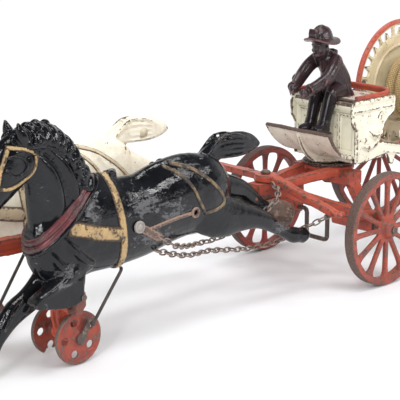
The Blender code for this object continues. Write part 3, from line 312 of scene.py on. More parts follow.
class Paint:
    def __init__(self, name, **steady):
        self.material = bpy.data.materials.new(name)
        self.material.use_nodes = True
        self.tree = self.material.node_tree
        self.shader = self.tree.nodes["Principled BSDF"]
        self.feed(self.shader, steady)
        self.place = self.node("ShaderNodeTexCoord", {}, {}, "Object")

    def feed(self, node, sockets):
        for key, value in sockets.items():
            socket = node.inputs[key.replace("_", " ") if isinstance(key, str) else key]
            if isinstance(value, Tone):
                self.tree.links.new(value.socket, socket)
            elif isinstance(value, tuple) and socket.type == "RGBA":
                socket.default_value = (*value[:3], 1)
            else:
                socket.default_value = value

    def node(self, kind, settings, sockets, output=0):
        made = self.tree.nodes.new(kind)
        for key, value in settings.items():
            setattr(made, key, value)
        self.feed(made, sockets)
        return Tone(self, made.outputs[output]) if output is not None else None

    def noise(self, scale, detail=4, rough=0.55, stretch=None, warp=0.0):
        place = self.place * stretch if stretch else self.place
        return self.node("ShaderNodeTexNoise", {}, {"Vector": place, "Scale": scale, "Detail": detail,
                                                    "Roughness": rough, "Distortion": warp}, "Fac")

    def ease(self, value, low, high):
        return self.node("ShaderNodeMapRange", {"interpolation_type": "SMOOTHSTEP"},
                         {"Value": value, "From Min": low, "From Max": high})

    def mix(self, amount, first, second):
        # Sockets 6 and 7 are the colours of a mix, and output 2 is the mixed colour.
        return self.node("ShaderNodeMix", {"data_type": "RGBA"}, {0: amount, 6: first, 7: second}, 2)

    def point(self):
        return self.node("ShaderNodeNewGeometry", {}, {}, "Pointiness")

    def hollowShade(self):
        # Painted shade: how deep in a hollow a point lies.
        return 1 - self.ease(self.point(), 0.43, 0.505)

    def mark(self, name, output="Fac"):
        return self.node("ShaderNodeAttribute", {"attribute_name": name}, {}, output)

    def part(self, vector, axis):
        return self.node("ShaderNodeSeparateXYZ", {}, {"Vector": vector}, axis)

    def ray(self, kind):
        return self.node("ShaderNodeLightPath", {}, {}, kind)

    def done(self, colour, rough, height=None, strength=0.3, depth=0.0004, **more):
        self.feed(self.shader, {"Base Color": colour, "Roughness": rough, **more})
        if height is not None:
            bump = {"Height": height, "Strength": strength, "Distance": depth}
            self.feed(self.shader, {"Normal": self.node("ShaderNodeBump", {}, bump, "Normal")})
        return self.material


def wornPaint(name, look):
    # Old enamel on cast iron: faded, darkened in its hollows with painted shade, chipped on its edges,
    # and with a top colour that is partly rubbed wear and partly painted light from above.
    look = {"specular": 0.5, "topAmount": 0.5, "hollowAmount": 0.8, "spots": 0.02, "bump": 0.45, **look}
    paint = Paint(name, Specular_IOR_Level=look["specular"])
    patch = paint.noise(look["patch"], 5, 0.6)
    fine = paint.noise(look["patch"] * 4.5, 8, 0.68)
    speck = paint.noise(look["patch"] * 17, 3)
    colour = paint.mix(paint.ease(patch, 0.38, 0.66), look["base"], look["fade"])
    # Up-facing surfaces take the top colour: partly rubbed wear and partly painted light from above.
    up = paint.part(paint.node("ShaderNodeTexCoord", {}, {}, "Normal"), "Z")
    top = paint.ease(up + (patch - 0.5) * 1.1, 0.45, 0.95)
    colour = paint.mix(top * look["topAmount"], colour, look["top"])
    # Painted shade: the hollows take the hollow colour.
    colour = paint.mix(paint.hollowShade() * look["hollowAmount"], colour, look["hollow"])
    edge = paint.ease(paint.point() + (fine - 0.5) * 0.12, look["edge"], look["edge"] + 0.018)
    chips = paint.ease(fine + (patch - 0.5) * 0.6, look["chips"], look["chips"] + 0.02)
    cells = paint.node("ShaderNodeTexVoronoi", {}, {"Vector": paint.place, "Scale": look["patch"] * 3.2},
                       "Distance")
    chips = chips.most(paint.ease(cells + (fine - 0.5) * 0.9, look["spots"], look["spots"] - 0.05))
    bare = edge.most(chips).most(paint.ease(paint.mark("bare") + (fine - 0.5) * 0.9, 0.42, 0.58))
    # The chip colours show chipped paint; on the driver's coat they are a painted maroon highlight on its
    # edges and pleats.
    chipAndHighlightColour = paint.mix(paint.ease(speck, 0.35, 0.65), look["chip"], look["chipLight"])
    colour = paint.mix(bare, colour, chipAndHighlightColour)
    colour = paint.mix(paint.ease(speck, 0.62, 0.8) * 0.35, colour, look["hollow"])
    rough = look["rough"] + bare * 0.2 + (fine - 0.5) * 0.25
    height = patch * 0.5 + fine * 0.35 + speck * 0.12 - bare * 0.35
    return paint.done(colour, rough, height, look["bump"], 0.0005)


# Each worn paint has a name, one value under each of these headings, and what else is its own. Colours
# are in thousandths. The top colour is partly rubbed wear and partly painted light from above, the hollow
# colour is painted shade, and on the driver's coat the chip colours are a painted highlight.
paintKeys = ("base", "fade", "top", "hollow", "chip", "chipLight", "edge", "chips", "patch", "rough")
wornPaints = {
    "red": ("wornVermilion", (420, 62, 28), (270, 45, 28), (440, 120, 75), (100, 18, 12), (55, 30, 24),
            (130, 70, 50), 0.525, 0.6, 90, 0.42, {"topAmount": 0.4}),
    "wheel": ("wornWheelRed", (340, 55, 30), (190, 42, 30), (360, 130, 90), (80, 20, 15), (55, 34, 28),
              (160, 100, 80), 0.52, 0.565, 110, 0.46, {"topAmount": 0.4}),
    "trolley": ("trolleyRed", (310, 50, 27), (170, 34, 25), (260, 80, 60), (70, 18, 14), (90, 50, 38),
                (190, 150, 130), 0.535, 0.575, 130, 0.46, {"topAmount": 0.4}),
    "bracket": ("trolleyBracketRed", (500, 85, 40), (360, 60, 35), (340, 80, 50), (130, 25, 16),
                (110, 28, 22), (200, 70, 50), 0.54, 0.64, 100, 0.44, {"topAmount": 0.4}),
    "darkRed": ("wornDarkRed", (250, 35, 24), (160, 30, 24), (260, 100, 80), (60, 14, 12), (45, 25, 20),
                (110, 60, 50), 0.53, 0.6, 100, 0.5, {"topAmount": 0.4}),
    "cream": ("wornCream", (840, 810, 660), (730, 690, 550), (740, 680, 560), (270, 180, 110), (40, 26, 20),
              (170, 110, 80), 0.519, 0.65, 80, 0.4, {"topAmount": 0.25}),
    "seat": ("wornSeat", (620, 520, 420), (500, 380, 310), (580, 470, 400), (220, 130, 100), (40, 26, 22),
             (150, 100, 80), 0.525, 0.56, 95, 0.5, {"topAmount": 0.3}),
    "pinkCream": ("wornFootboard", (700, 650, 540), (580, 500, 410), (600, 510, 430), (260, 180, 120),
                  (45, 30, 24), (170, 110, 85), 0.522, 0.635, 85, 0.48, {"topAmount": 0.3}),
    "white": ("whiteHorseEnamel", (820, 770, 640), (700, 620, 480), (820, 770, 660), (400, 290, 170),
              (40, 30, 25), (200, 130, 80), 0.54, 0.665, 75, 0.34, {"hollowAmount": 0.6}),
    # The coat's chip colours are a painted maroon highlight on its edges and pleats.
    "brown": ("driverBronze", (32, 13, 16), (16, 9, 11), (60, 30, 34), (5, 4, 5), (120, 34, 42),
              (160, 75, 75), 0.528, 0.67, 140, 0.3, {"bump": 0.6, "specular": 0.6}),
    "boot": ("driverBlack", (12, 10, 12), (24, 16, 18), (50, 35, 40), (4, 4, 5), (80, 36, 36),
             (110, 60, 55), 0.55, 0.7, 140, 0.2, {"specular": 0.35}),
    "iron": ("rustyIron", (90, 60, 48), (50, 38, 34), (170, 130, 110), (25, 16, 13), (160, 85, 55),
             (260, 210, 180), 0.54, 0.59, 160, 0.46, {"bump": 0.6}),
    "boss": ("wornBoss", (300, 270, 250), (200, 170, 150), (420, 380, 360), (50, 35, 30), (140, 90, 70),
             (500, 460, 440), 0.55, 0.62, 180, 0.34, {"bump": 0.6}),
    "rod": ("darkWire", (30, 24, 22), (45, 34, 30), (80, 65, 60), (12, 9, 8), (120, 70, 50),
            (160, 120, 100), 0.57, 0.66, 160, 0.42, {}),
    "chain": ("chainIron", (100, 70, 55), (60, 42, 36), (200, 155, 140), (30, 18, 14), (180, 110, 80),
              (280, 230, 200), 0.56, 0.6, 200, 0.4, {}),
    "gold": ("harnessGold", (400, 270, 120), (250, 160, 75), (460, 350, 210), (90, 50, 25), (16, 13, 12),
             (100, 60, 30), 0.55, 0.56, 150, 0.36, {"spots": 0.1}),
    "dullGold": ("harnessOldGold", (180, 120, 60), (70, 52, 36), (260, 200, 130), (20, 15, 12),
                 (16, 14, 13), (60, 45, 35), 0.56, 0.51, 150, 0.36, {"spots": 0.1}),
    # The collar's pink top colour is a painted highlight.
    "collar": ("collarMaroon", (120, 26, 30), (40, 14, 17), (200, 90, 90), (10, 7, 8), (18, 13, 14),
               (100, 60, 55), 0.555, 0.56, 60, 0.24, {"topAmount": 0.3}),
    "strap": ("traceBrown", (100, 62, 45), (45, 30, 24), (200, 140, 100), (14, 10, 9), (200, 120, 90),
              (300, 210, 160), 0.54, 0.57, 150, 0.38, {}),
    "plainWhite": ("tailDiscWhite", (740, 680, 540), (600, 520, 380), (760, 700, 560), (420, 320, 200),
                   (200, 130, 80), (340, 250, 160), 0.9, 0.66, 150, 0.4, {}),
    "whiteBand": ("whiteHarness", (600, 500, 340), (500, 400, 260), (660, 580, 440), (200, 130, 70),
                  (50, 35, 25), (200, 130, 80), 0.55, 0.6, 110, 0.42, {"spots": 0.06}),
}
finishes = {}
for key, (name, *row, own) in wornPaints.items():
    row = [tuple(v / 1000 for v in value) if isinstance(value, tuple) else value for value in row]
    finishes[key] = wornPaint(name, {**dict(zip(paintKeys, row)), **own})


def blackEnamel(name, look):
    # Glossy black with grey patches, partly rubbed enamel and partly painted reflection of the lamps, and
    # brown worn edges.
    look = {"specular": 0.5, "rubAndSheen": 0.6, "rubAndSheenAmount": 0.6, **look}
    paint = Paint(name, Specular_IOR_Level=look["specular"])
    patch = paint.noise(look["patch"], 5, 0.62, warp=0.8)
    streak = paint.noise(look["patch"] * 2.4, 7, 0.7, stretch=(0.5, 1.0, 1.3), warp=1.5)
    fine = paint.noise(look["patch"] * 9, 8, 0.72)
    rubAndSheen = paint.ease(patch * 0.5 + streak * 0.5, look["rubAndSheen"], look["rubAndSheen"] + 0.07)
    rubAndSheen = rubAndSheen * paint.ease(fine + (streak - 0.5) * 0.7, 0.34, 0.72)
    rubAndSheenPlaces = paint.mark("rubAndSheen") + (streak - 0.5) * 2.4 + (fine - 0.5) * 1.6
    rubAndSheen = rubAndSheen.most(paint.ease(rubAndSheenPlaces, 0.5, 0.85))
    edge = paint.ease(paint.point() + (fine - 0.5) * 0.14, look["edge"], look["edge"] + 0.03)
    colour = paint.mix(paint.ease(patch, 0.3, 0.7), (0.003, 0.0032, 0.004), (0.008, 0.0086, 0.011))
    # Grey patches: partly rubbed enamel and partly painted reflection.
    colour = paint.mix(rubAndSheen * look["rubAndSheenAmount"], colour, look["grey"])
    colour = paint.mix(edge * 0.6, colour, look["brown"])
    rough = 0.07 + rubAndSheen * 0.28 + edge * 0.2 + paint.ease(streak, 0.5, 0.75) * 0.1
    dent = paint.noise(look["patch"] * 2.6, 3, 0.5, warp=0.6)
    height = patch * 1.3 + dent * 0.3 + streak * 0.07 + fine * 0.015 - rubAndSheen * 0.08
    return paint.done(colour, rough, height, 0.6, 0.0009)


finishes["black"] = blackEnamel("blackHorseEnamel", {"patch": 60, "specular": 0.36, "edge": 0.545,
                                                     "rubAndSheenAmount": 0.5, "grey": (0.17, 0.166, 0.172),
                                                     "brown": (0.13, 0.1, 0.085)})
finishes["mane"] = blackEnamel("blackManeEnamel", {"patch": 80, "specular": 0.34, "edge": 0.56,
                                                   "grey": (0.2, 0.19, 0.2), "brown": (0.1, 0.075, 0.065)})
finishes["disc"] = blackEnamel("turntableBlack", {"patch": 90, "rubAndSheen": 0.5, "edge": 0.52,
                                                  "rubAndSheenAmount": 0.8,
                                                  "grey": (0.13, 0.07, 0.05), "brown": (0.2, 0.1, 0.07)})


def wovenHose(name, look):
    # Diagonal woven threads, laid by the hose's own length and girth.
    paint = Paint(name)
    lay = paint.mark("lay", "Vector")
    length = paint.part(lay, "X") * look["along"]
    girth = paint.part(lay, "Y") * look["round"]
    first, second = (paint.node("ShaderNodeMath", {"operation": "SINE"}, {0: turn})
                     for turn in (length + girth, length - girth))
    weave = first * second
    dirt = paint.noise(110, 6, 0.65)
    fine = paint.noise(900, 4)
    colour = paint.mix(paint.ease(weave, -0.6, 0.7), look["dark"], look["light"])
    colour = paint.mix(paint.ease(dirt, 0.42, 0.72) * 0.6, colour, look["dirt"])
    colour = paint.mix(paint.ease(fine, 0.6, 0.8) * 0.3, colour, look["dark"])
    return paint.done(colour, 0.8 + fine * 0.1, weave * 0.6 + fine * 0.3, 0.8, 0.0006)


finishes["hose"] = wovenHose("wovenHose", {"along": 2.6, "round": 10.0, "dark": (0.28, 0.18, 0.07),
                                           "light": (0.66, 0.5, 0.26), "dirt": (0.3, 0.2, 0.1)})


def flangePaint(name, look):
    # Cream web with a red rim, both chipped.
    paint = Paint(name)
    patch = paint.noise(80, 5, 0.6)
    fine = paint.noise(360, 8, 0.68)
    cream = paint.mix(paint.ease(patch, 0.4, 0.68), look["cream"], look["creamFade"])
    red = paint.mix(paint.ease(patch, 0.4, 0.68), look["red"], look["redFade"])
    colour = paint.mix(paint.ease(paint.mark("red") + (fine - 0.5) * 0.8, 0.4, 0.55), cream, red)
    # Painted shade: the hollows take the hollow colour.
    colour = paint.mix(paint.hollowShade() * 0.55, colour, look["hollow"])
    edge = paint.point() + (fine - 0.5) * 0.13
    bare = paint.ease(edge, 0.53, 0.55).most(paint.ease(fine + (patch - 0.5) * 0.6, 0.67, 0.69))
    colour = paint.mix(bare, colour, look["chip"])
    return paint.done(colour, 0.48 + bare * 0.2, patch * 0.5 + fine * 0.4 - bare * 0.35, 0.45, 0.0005)


finishes["flange"] = flangePaint("reelFlangePaint", {
    "cream": (0.7, 0.6, 0.4), "creamFade": (0.56, 0.46, 0.28), "red": (0.46, 0.07, 0.04),
    "redFade": (0.42, 0.14, 0.1), "hollow": (0.3, 0.2, 0.13), "chip": (0.05, 0.035, 0.03)})
print("finishes ready")

# Wagon wheels
wagonWheels = {"tread": 7.8, "rim": 4.9, "outer": 62.7, "hubLength": 14, "spokes": 12, "spokeHalf": 1.75,
               "spokeThick": 1.9, "grain": 0.62}


def tyre(x, z, radius):
    # Bare metal wherever a wheel runs on the floor.
    return lambda px, py, pz: hypot(px - x, pz - z) > radius


def wagonWheel(name, x, radius, side, body, node, finish):
    look = wagonWheels
    half = look["tread"] / 2
    long = look["hubLength"] / 2
    centre = Vector((x, side * (look["outer"] - half), radius))
    inner = radius - look["rim"]
    form = Form().spin(mirrored([(inner, half - 0.6), (inner + 0.7, half), (radius - 0.5, half),
                                 (radius, half - 0.5)]),
                       centre, side, 96)
    form.spin([(1.9, long), (4.4, long), (5.3, long - 0.9), (6.2, long - 2.4), (6.6, 2.6), (7.8, 1.6),
               (7.8, -1.6),
               (6.6, -2.6), (5.6, -long), (1.9, -long)], centre, side, 48)
    w, t = look["spokeHalf"], look["spokeThick"]
    stations = [(6, 3.0, t), (9, 2.2, t), (12, w, t), (inner * 0.6, w, t), (inner - 6, w * 1.15, t),
                (inner - 2.6, w * 1.6, t), (inner - 0.8, w * 2.4, t * 1.05), (inner + 1, w * 3.4, t * 1.1)]
    for k in range(look["spokes"]):
        radial, across = spoke(2 * pi * k / look["spokes"])
        form.skin([[centre + radial * r + across * wide * squared(cos(b), 0.8)
                    + Vector((0, thick * squared(sin(b), 0.7), 0)) for b in angles(16)]
                   for r, wide, thick in flow(stations, 3)])
    form.make(name, look["grain"], 2, body, finish, "red", node, bare=tyre(x, radius, radius - 0.45))


for side, label in ((-1, "near"), (1, "far")):
    shade = "wheel" if side < 0 else "darkRed"
    wagonWheel(label + "FrontWheelCast", 0, 40, side, "front_wheels", label + "_front_wheel", shade)
    wagonWheel(label + "RearWheelCast", 135, 60, side, "rear_wheels", label + "_rear_wheel", shade)
print("wagon wheels cast")


# Axles, each with peened ends
def axleCaps(form, x, z):
    for side in (-1, 1):
        form.spindle((x, side * 66.1, z), (x, side * 67.2, z), 2.9, 24, 2.3)
        form.spindle((x, side * 60, z), (x, side * 66.4, z), 1.7, 24)
    return form


crank = {"near": -4.5, "far": 15.5, "axle": 40, "low": 20, "bend": 3.0, "radius": 1.7}
near, far, axle, low, bend = (crank[key] for key in ("near", "far", "axle", "low", "bend"))
route = [(0, -66, axle), (0, near - 9, axle)]
for y, z, inY, inZ, outY, outZ in ((near, axle, 1, 0, 0, -1), (near, low, 0, -1, 1, 0),
                                   (far, low, 1, 0, 0, 1),
                                   (far, axle, 0, 1, 1, 0)):
    for a in (0, 0.4, 0.8, 1.2, pi / 2):
        late, early = bend * (1 - sin(a)), bend * (1 - cos(a))
        route.append((0, y - inY * late + outY * early, z - inZ * late + outZ * early))
form = axleCaps(Form().pipe(route + [(0, 66, axle)], crank["radius"], 16), 0, axle)
form.make("crankAxleRod", 0.5, 1, "front_wheels", "iron", "iron", "crank_axle")
form = axleCaps(Form().spindle((135, -66, 60), (135, 66, 60), crank["radius"]), 135, 60)
form.make("rearAxleRod", 0.5, 1, "rear_wheels", "iron", "iron", "rear_axle")
print("axles bent")

# Fore carriage
fore = {"plateZ": 76.5, "grain": 0.75, "armEnd": 51.4, "armStart": {-1: 12.6, 1: 23.6}}
form = Form().spindle((6, 0, 73.4), (6, 0, fore["plateZ"]), 18, 48)
form.slab((-4.5, -27, 65), (10.5, 27, 74.4))
form.beam((-73, 0, 68.1), (-48, 0, 68.1), 12, 11.2)
for side in (-1, 1):
    form.beam((-58, side * 5, 69.5), (-30, side * 9.5, 72.2), 6.4, 6.4, 6.6, 6.4)
    form.beam((-31, side * 9.4, 72.2), (4, side * 14, 73.2), 6.6, 6.4, 7.2, 6)
    form.pipe(flow([(-30, side * 9.4, 73.4), (-14, side * 11.6, 75.2), (0, side * 13.6, 75.6)], 5), 2.2, 12)
    form.prism([(-4.6, 35.6), (4.6, 35.6), (5.4, 40), (4.6, 49), (2.5, 50.4), (-2.5, 50.4), (-4.6, 49),
                (-5.4, 40)],
               *sorted((side * fore["armStart"][side], side * fore["armEnd"])))
    form.beam((3, side * 24, 67), (0, side * 41.5, 46), 9, 6, 9, 6)
    form.beam((-54, side * 6, 67), (-2, side * 45.5, 45), 5, 7, 6.5, 7)
    form.pipe([(-52, side * 7, 70.6), (-4, side * 43.5, 49.6)], 1.2, 8)
    form.spindle((0, side * fore["armEnd"], 40), (0, side * 47, 40), 6.2, 32, 5.4)
form.make("foreCarriageCasting", fore["grain"], 3, "fore_gear", "red", "red", "fore_carriage")

splinter = {"nearEnd": (-45, -50, 57.5), "farEnd": (-58, 60, 76.5)}
near, far = Vector(splinter["nearEnd"]), Vector(splinter["farEnd"])
form = Form().spindle((-60, 0, 74), (-60, 0, 79), 8, 40)
form.beam((-60, -7.4, 76.8), near, 9, 5, 7.4, 4.6)
form.beam((-60, 0, 76.5), far, 8, 4.6, 6.6, 4)
for end, side in ((near, -1), (far, 1)):
    form.pipe([end + Vector((3.2 * cos(a), side * 3 + 3.2 * sin(a), 0)) for a in angles(24)], 1.75, 12, True)
form.make("splinterBarCasting", 0.65, 3, "fore_gear", "red", "red", "splinter_bar")

pole = {"tipX": -292, "tipZ": 72, "endX": -74.3, "endZ": 64.4, "pins": ((-1, -96, 72), (1, -122, 77))}
slope = (pole["endZ"] - pole["tipZ"]) / (pole["endX"] - pole["tipX"])


def poleZ(x):
    return pole["tipZ"] + (x - pole["tipX"]) * slope


form = Form().prism([(-288, poleZ(-288) + 5), (pole["endX"], pole["endZ"] + 5),
                     (pole["endX"], pole["endZ"] - 5), (-288, poleZ(-288) - 5), (-291, poleZ(-288) - 3),
                     (-292, 72), (-291, poleZ(-288) + 3)], -2.6, 2.6)
for z in (4, -4):
    form.beam((-289, 0, poleZ(-289) + z), (pole["endX"], 0, pole["endZ"] + z), 7, 2)
form.slab((-94, -3.5, 54.4), (-50, 3.5, 62.1))
for side, px, pz in pole["pins"]:
    form.slab((px - 4, min(0, side * 7), poleZ(px) - 3), (px + 4, max(0, side * 7), pz + 3.6))
    form.spindle((px, 0, pz), (px, side * 27, pz), 1.6, 20)
form.make("polePainted", 0.7, 2, "fore_gear", "red", "red", "pole")

form = Form().spindle((-60, 0, 52.6), (-60, 0, 81), 1.6, 20)
form.ball((-60, 0, 80), (3.6, 3.6, 2))
form.ball((-60, 0, 52.9), (3.4, 3.4, 1.6))
form.make("hitchRivetHead", 0.4, 1, "fore_gear", "iron", "iron", "hitch_rivet")
stay = flow([(-52, 6, 61.2), (-45, 7.5, 56), (-31, 16, 47.5), (-23, 19.3, 43.2), (-12, 20, 39),
             (-3, 19.9, 37.2)], 6)
settle(Form().pipe(stay, 0.85, 12).add("crankStayWire"), "fore_gear", "iron", ["crank_stay"])
print("fore carriage cast")

# Wagon body
body = {"grain": 0.7, "inside": 27.5, "outside": 29.6, "reel": (113, 119), "axle": (135, 60),
        "railX": 26, "railZ": 90, "railFall": -25, "railRun": 109}


def railZ(x, off=0):
    # The height of the sloping rail's middle line, and a way off it.
    return body["railZ"] + (x - body["railX"]) * body["railFall"] / body["railRun"] + off


def bodySide(name, side, node):
    # A panel with a rail, the reel's post and the axle's boss, and ridges laid on its face.
    edge = flow([(42, 125), (42.3, 116), (39.5, 112.5), (36, 111), (33, 108.6), (30.6, 104.6), (28.4, 100.5),
                 (25.4, 97.4), (23.6, 95), (24.4, 92.4)], 4)
    outline = [(0, 80.5), (0, 103), (-4, 109), (-5, 119), (-3, 125)] + edge
    outline += [(29, railZ(29, 4)), (104, railZ(104, 4)), (108.5, 116)]
    outline += arc(*body["reel"], 5.6, 200, -20, 14)
    outline += [(117.5, 116), (122, railZ(122, 4)), (147, railZ(147, 4)), (168, railZ(172, 4)),
                (172, railZ(172)),
                (169, railZ(172, -4)), (144, railZ(144, -4))] + arc(*body["axle"], 6.6, -10, -170, 12)
    outline += [(126, railZ(126, -4)), (45, railZ(45, -4)), (42, railZ(42, -12)), (38, railZ(38, -12)),
                (35, railZ(35, -4)), (14, 80.5)]
    form = Form().prism(outline, *sorted((side * body["inside"], side * body["outside"])))

    def ridge(points, radius, sides=10, out=29.4):
        form.pipe([(x, side * out, z) for x, z in points], radius, sides)

    ridge([(-4.2, 124), (42, 124)], 1.5)
    ridge([(-3.4, 118), (41.6, 118)], 1.2, 10, 29.5)
    ridge([(x - 1.2, z) for x, z in edge], 1.1)
    curl = [(i * 0.35, 5.2 * (1 - i * 0.35 / 11)) for i in range(22)]
    ridge([(28 - r * cos(t), 111 + r * sin(t)) for t, r in curl], 1.05, 10, 29.6)
    for thick, leaf in ((1.3, [(30, 29.4, 100), (24, 29.8, 98), (18, 29.8, 99), (13, 29.4, 103)]),
                        (1.2, [(27, 29.4, 96), (20, 29.8, 92), (12, 29.8, 91), (5, 29.4, 94)])):
        form.fold(onSide(leaf, side), 6, 0.6, thick, 10, 0)
    ridge([(1.2, 82), (1.2, 103), (-2.6, 110), (-3.6, 118)], 1.0)
    for rise in (3.2, -3.2):
        ridge([(30, railZ(30, rise)), (168, railZ(168, rise))], 0.9, 8, 29.5)
    for (x, z), bore, wide, foot in ((body["reel"], 2.2, 5, 5.6), (body["axle"], 1.9, 5.4, 6.2)):
        form.spin([(bore, 0.4), (wide, 0.4), (foot, -0.4), (foot, -2), (bore, -2)],
                  (x, side * body["outside"], z),
                  side, 36)
    form.make(name, body["grain"], 2, "wagon", "cream", "cream", node)


bodySide("nearBodySideCast", -1, "near_body_side")
bodySide("farBodySideCast", 1, "far_body_side")

form = Form()
for corners in (((1.6, -29, 83.9), (4, 29, 121)), ((0.4, -27.2, 120.4), (39, 27.2, 123.2)),
                ((36.5, -27.2, 110), (39, 27.2, 124))):
    form.slab(*corners)
for low, high in ((-25.6, -13.4), (-11.6, 11.6), (13.4, 25.6)):
    panel = [(low + 1, 88), (high - 1, 88), (high, 89), (high, 113), (high - 1, 114), (low + 1, 114),
             (low, 113),
             (low, 89)]
    form.pipe([(1.5, y, z) for y, z in panel], 0.85, 8, True)
form.prism([(4, 116), (0.6, 116), (-1.4, 118.4), (-2.2, 121), (-1, 123), (4, 123)], -29, 29)
form.prism([(4, 84), (0.2, 84), (-0.2, 86.4), (1.6, 88), (4, 88)], -29, 29)
for side in (-1, 1):
    form.beam((1.8, side * 27.6, 85), (1.8, side * 27.6, 118), 3, 3)
form.make("seatBoxCast", 0.6, 2, "wagon", "cream", "cream", "seat_box",
          bare=lambda px, py, pz: 0.62 if px < 1 and pz > 121 else 0.0)
form = Form().slab((0.2, -27.2, 80.5), (35, 27.2, 83.5))
form.make("boxFloorCast", 0.7, 1, "wagon", "cream", "cream", "body_floor")

# The seat's red rim follows half of this line and its mirror image.
half = [(0, -28.4), (20, -28.4), (33, -28.2), (38.6, -24.5), (40.2, -16)]
line = half + [(41.2, 0)] + [(x, -y) for x, y in reversed(half)]
rim = flow([(x, y, 127.4 + 1.4 * max(0, (x - 30) / 11)) for x, y in line], 5)
form = Form().pipe(rim, 1.5, 12)
form.pipe([(x, y, 126.3) for x, y, z in rim], 1.05, 12)
form.make("seatRimCast", 0.5, 2, "wagon", "red", "red", "seat_rail")
form = Form().prism([(1, -26.6), (30, -26.6), (36, -23), (37.4, 0), (36, 23), (30, 26.6), (1, 26.6)],
                    124.05, 125.2, "XY")
form.make("seatPan", 0.6, 2, "wagon", "seat", "cream",
          bare=lambda px, py, pz: max((abs(py) - 22) / 5, (12 - px) / 14 if py < 0 else 0, (px - 31) / 8))

board = {"half": 26, "lip": 30.5, "thick": 2.4}
line = flow([(0.4, 84.6), (-7, 86), (-14.4, 89.4), (-20.6, 94.4), (-25.4, 100.4), (-28, 105.2)], 5)
spread = [(i / (len(line) - 1)) ** 0.8 for i in range(len(line))]
outline = [(-1, -1 + k / 6) for k in range(13)] + [(1, 1 - k / 6) for k in range(13)]
rings = []
for i, (x, z) in enumerate(line):
    slope = heading(line, i)
    out = Vector((-slope.y, slope.x)) * board["thick"] / 2
    half = board["half"] + (board["lip"] - board["half"]) * spread[i]
    rings.append([(x + a * out.x, half * y, z + a * out.y) for a, y in outline])
form = Form().skin(rings)
form.pipe([(-28, -board["lip"], 104.9), (-28.4, -15, 105.3), (-28.4, 0, 104.9), (-28.4, 15, 105.4),
           (-28, board["lip"], 105)], 1.5, 12)
for side in (-1, 1):
    form.pipe([(x, side * (board["half"] - 0.4 + 4.5 * wide), z) for (x, z), wide in zip(line, spread)],
              1.35, 10)
rib = line[3:]
back = [(x, z, 1 - i / (len(rib) - 1)) for i, (x, z) in enumerate(rib)]
form.prism([(x + 0.2, z + 0.4) for x, z in rib]
           + [(x - 0.8 - 5.4 * deep, z - 1.4 - 4.4 * deep) for x, z, deep in reversed(back)], -1.7, 1.7)
form.turned([(2.9, 0), (13.4, 0), (13.2, 0.9), (10, 2.0), (7.6, 4), (6.8, 6.8), (7.6, 8.6), (2.9, 8.6)],
            (1.6, 0, 79.7), 48)
form.make("footboardCast", 0.6, 2, "wagon", "pinkCream", "cream", "footboard",
          bare=lambda px, py, pz: max((abs(py) - 27.4) / 3, (pz - 103) / 2.2) if pz > 86 else 0.0)

form = Form().turned([(2.9, -1.3), (18.5, -1.3), (19.7, -0.7), (19.7, 0.8), (18.5, 1.3), (2.9, 1.3)],
                     (6, 0, 78.2), 64)
form.make("turntableDisc", 0.6, 1, "wagon", "disc", "black", "turntable_plate")
form = Form()
for low, high, radius, sides in ((62.2, 85.6, 2.4, 24), (62.3, 64.2, 5, 6), (83.9, 85.6, 3.1, 24)):
    form.spindle((6, 0, low), (6, 0, high), radius, sides)
form.make("kingpinNut", 0.45, 1, "wagon", "disc", "black", "kingpin")
form = Form().slab((150, -27.2, 53.5), (171, 27.2, 56.5))
for y in range(-24, 25, 4):
    form.pipe([(151.5, y, 56.3), (169.5, y, 56.3)], 0.55, 8)
form.make("rearStepCast", 0.6, 1, "wagon", "cream", "cream", "rear_step")
print("wagon body cast")

# Hose reel
reel = {"x": 113, "z": 119, "outer": 45.6, "half": 23.5, "openings": 16, "drum": 18, "hose": 4.3, "turns": 4,
        "steps": 48, "sides": 24}


def reelFlange(name, side, node):
    # A web with a rim, a boss, a ridge on each face, and windows with a tooth in each.
    centre = Vector((reel["x"], side * (reel["half"] + 1.2), reel["z"]))
    form = Form().spin(mirrored([(2.4, 1.2), (37.9, 1.2), (38.2, 0.9)]), centre, side, 96)
    form.spin(mirrored([(reel["outer"], 1.2), (47.6, 1.9), (49.6, 1.6), (50, 0.8)]), centre, side, 96)
    form.spin([(2.4, 2.3), (6.6, 2.3), (8, 1), (2.4, 1)], centre, side, 40)
    form.pipe(circle(centre, 30, 72, -side * 1.2), 1.3, 10, True)
    form.pipe(circle(centre, 30, 72, side * 1.2), 0.9, 10, True)
    bar = flow([(37, 2.9), (39.4, 1.5), (42, 1.15), (44.6, 1.5), (46.6, 3.0)], 3)
    for k in range(reel["openings"]):
        for phase, thick, rows in ((0.5, 1.15, bar), (0, 1.05, [(37, 3.0), (43.6, 0.5)])):
            radial, across = spoke(2 * pi * (k + phase) / reel["openings"])
            form.skin([[centre + radial * r + across * wide * c + Vector((0, thick * s, 0))
                        for c, s in square] for r, wide in rows])
    form.make(name, 0.5, 1, "hose_reel", "flange", "cream", node,
              red=lambda x, y, z: (hypot(x - reel["x"], z - reel["z"]) - 46.6) * 1.4)


reelFlange("nearFlangeCast", -1, "near_reel_flange")
reelFlange("farFlangeCast", 1, "far_reel_flange")
form = Form().spin(mirrored([(2.4, 23.1), (reel["drum"], 23.1)]), (113, 0, 119), 1, 64)
form.make("reelDrumCast", 0.9, 1, "hose_reel", "cream", "cream", "reel_drum")
form = Form().spindle((113, -31, 119), (113, 31, 119), 2, 24)
for side in (-1, 1):
    form.ball((113, side * 30.8, 119), (4, 1.3, 4))
form.make("reelAxleRivet", 0.45, 1, "hose_reel", "iron", "iron", "reel_axle")

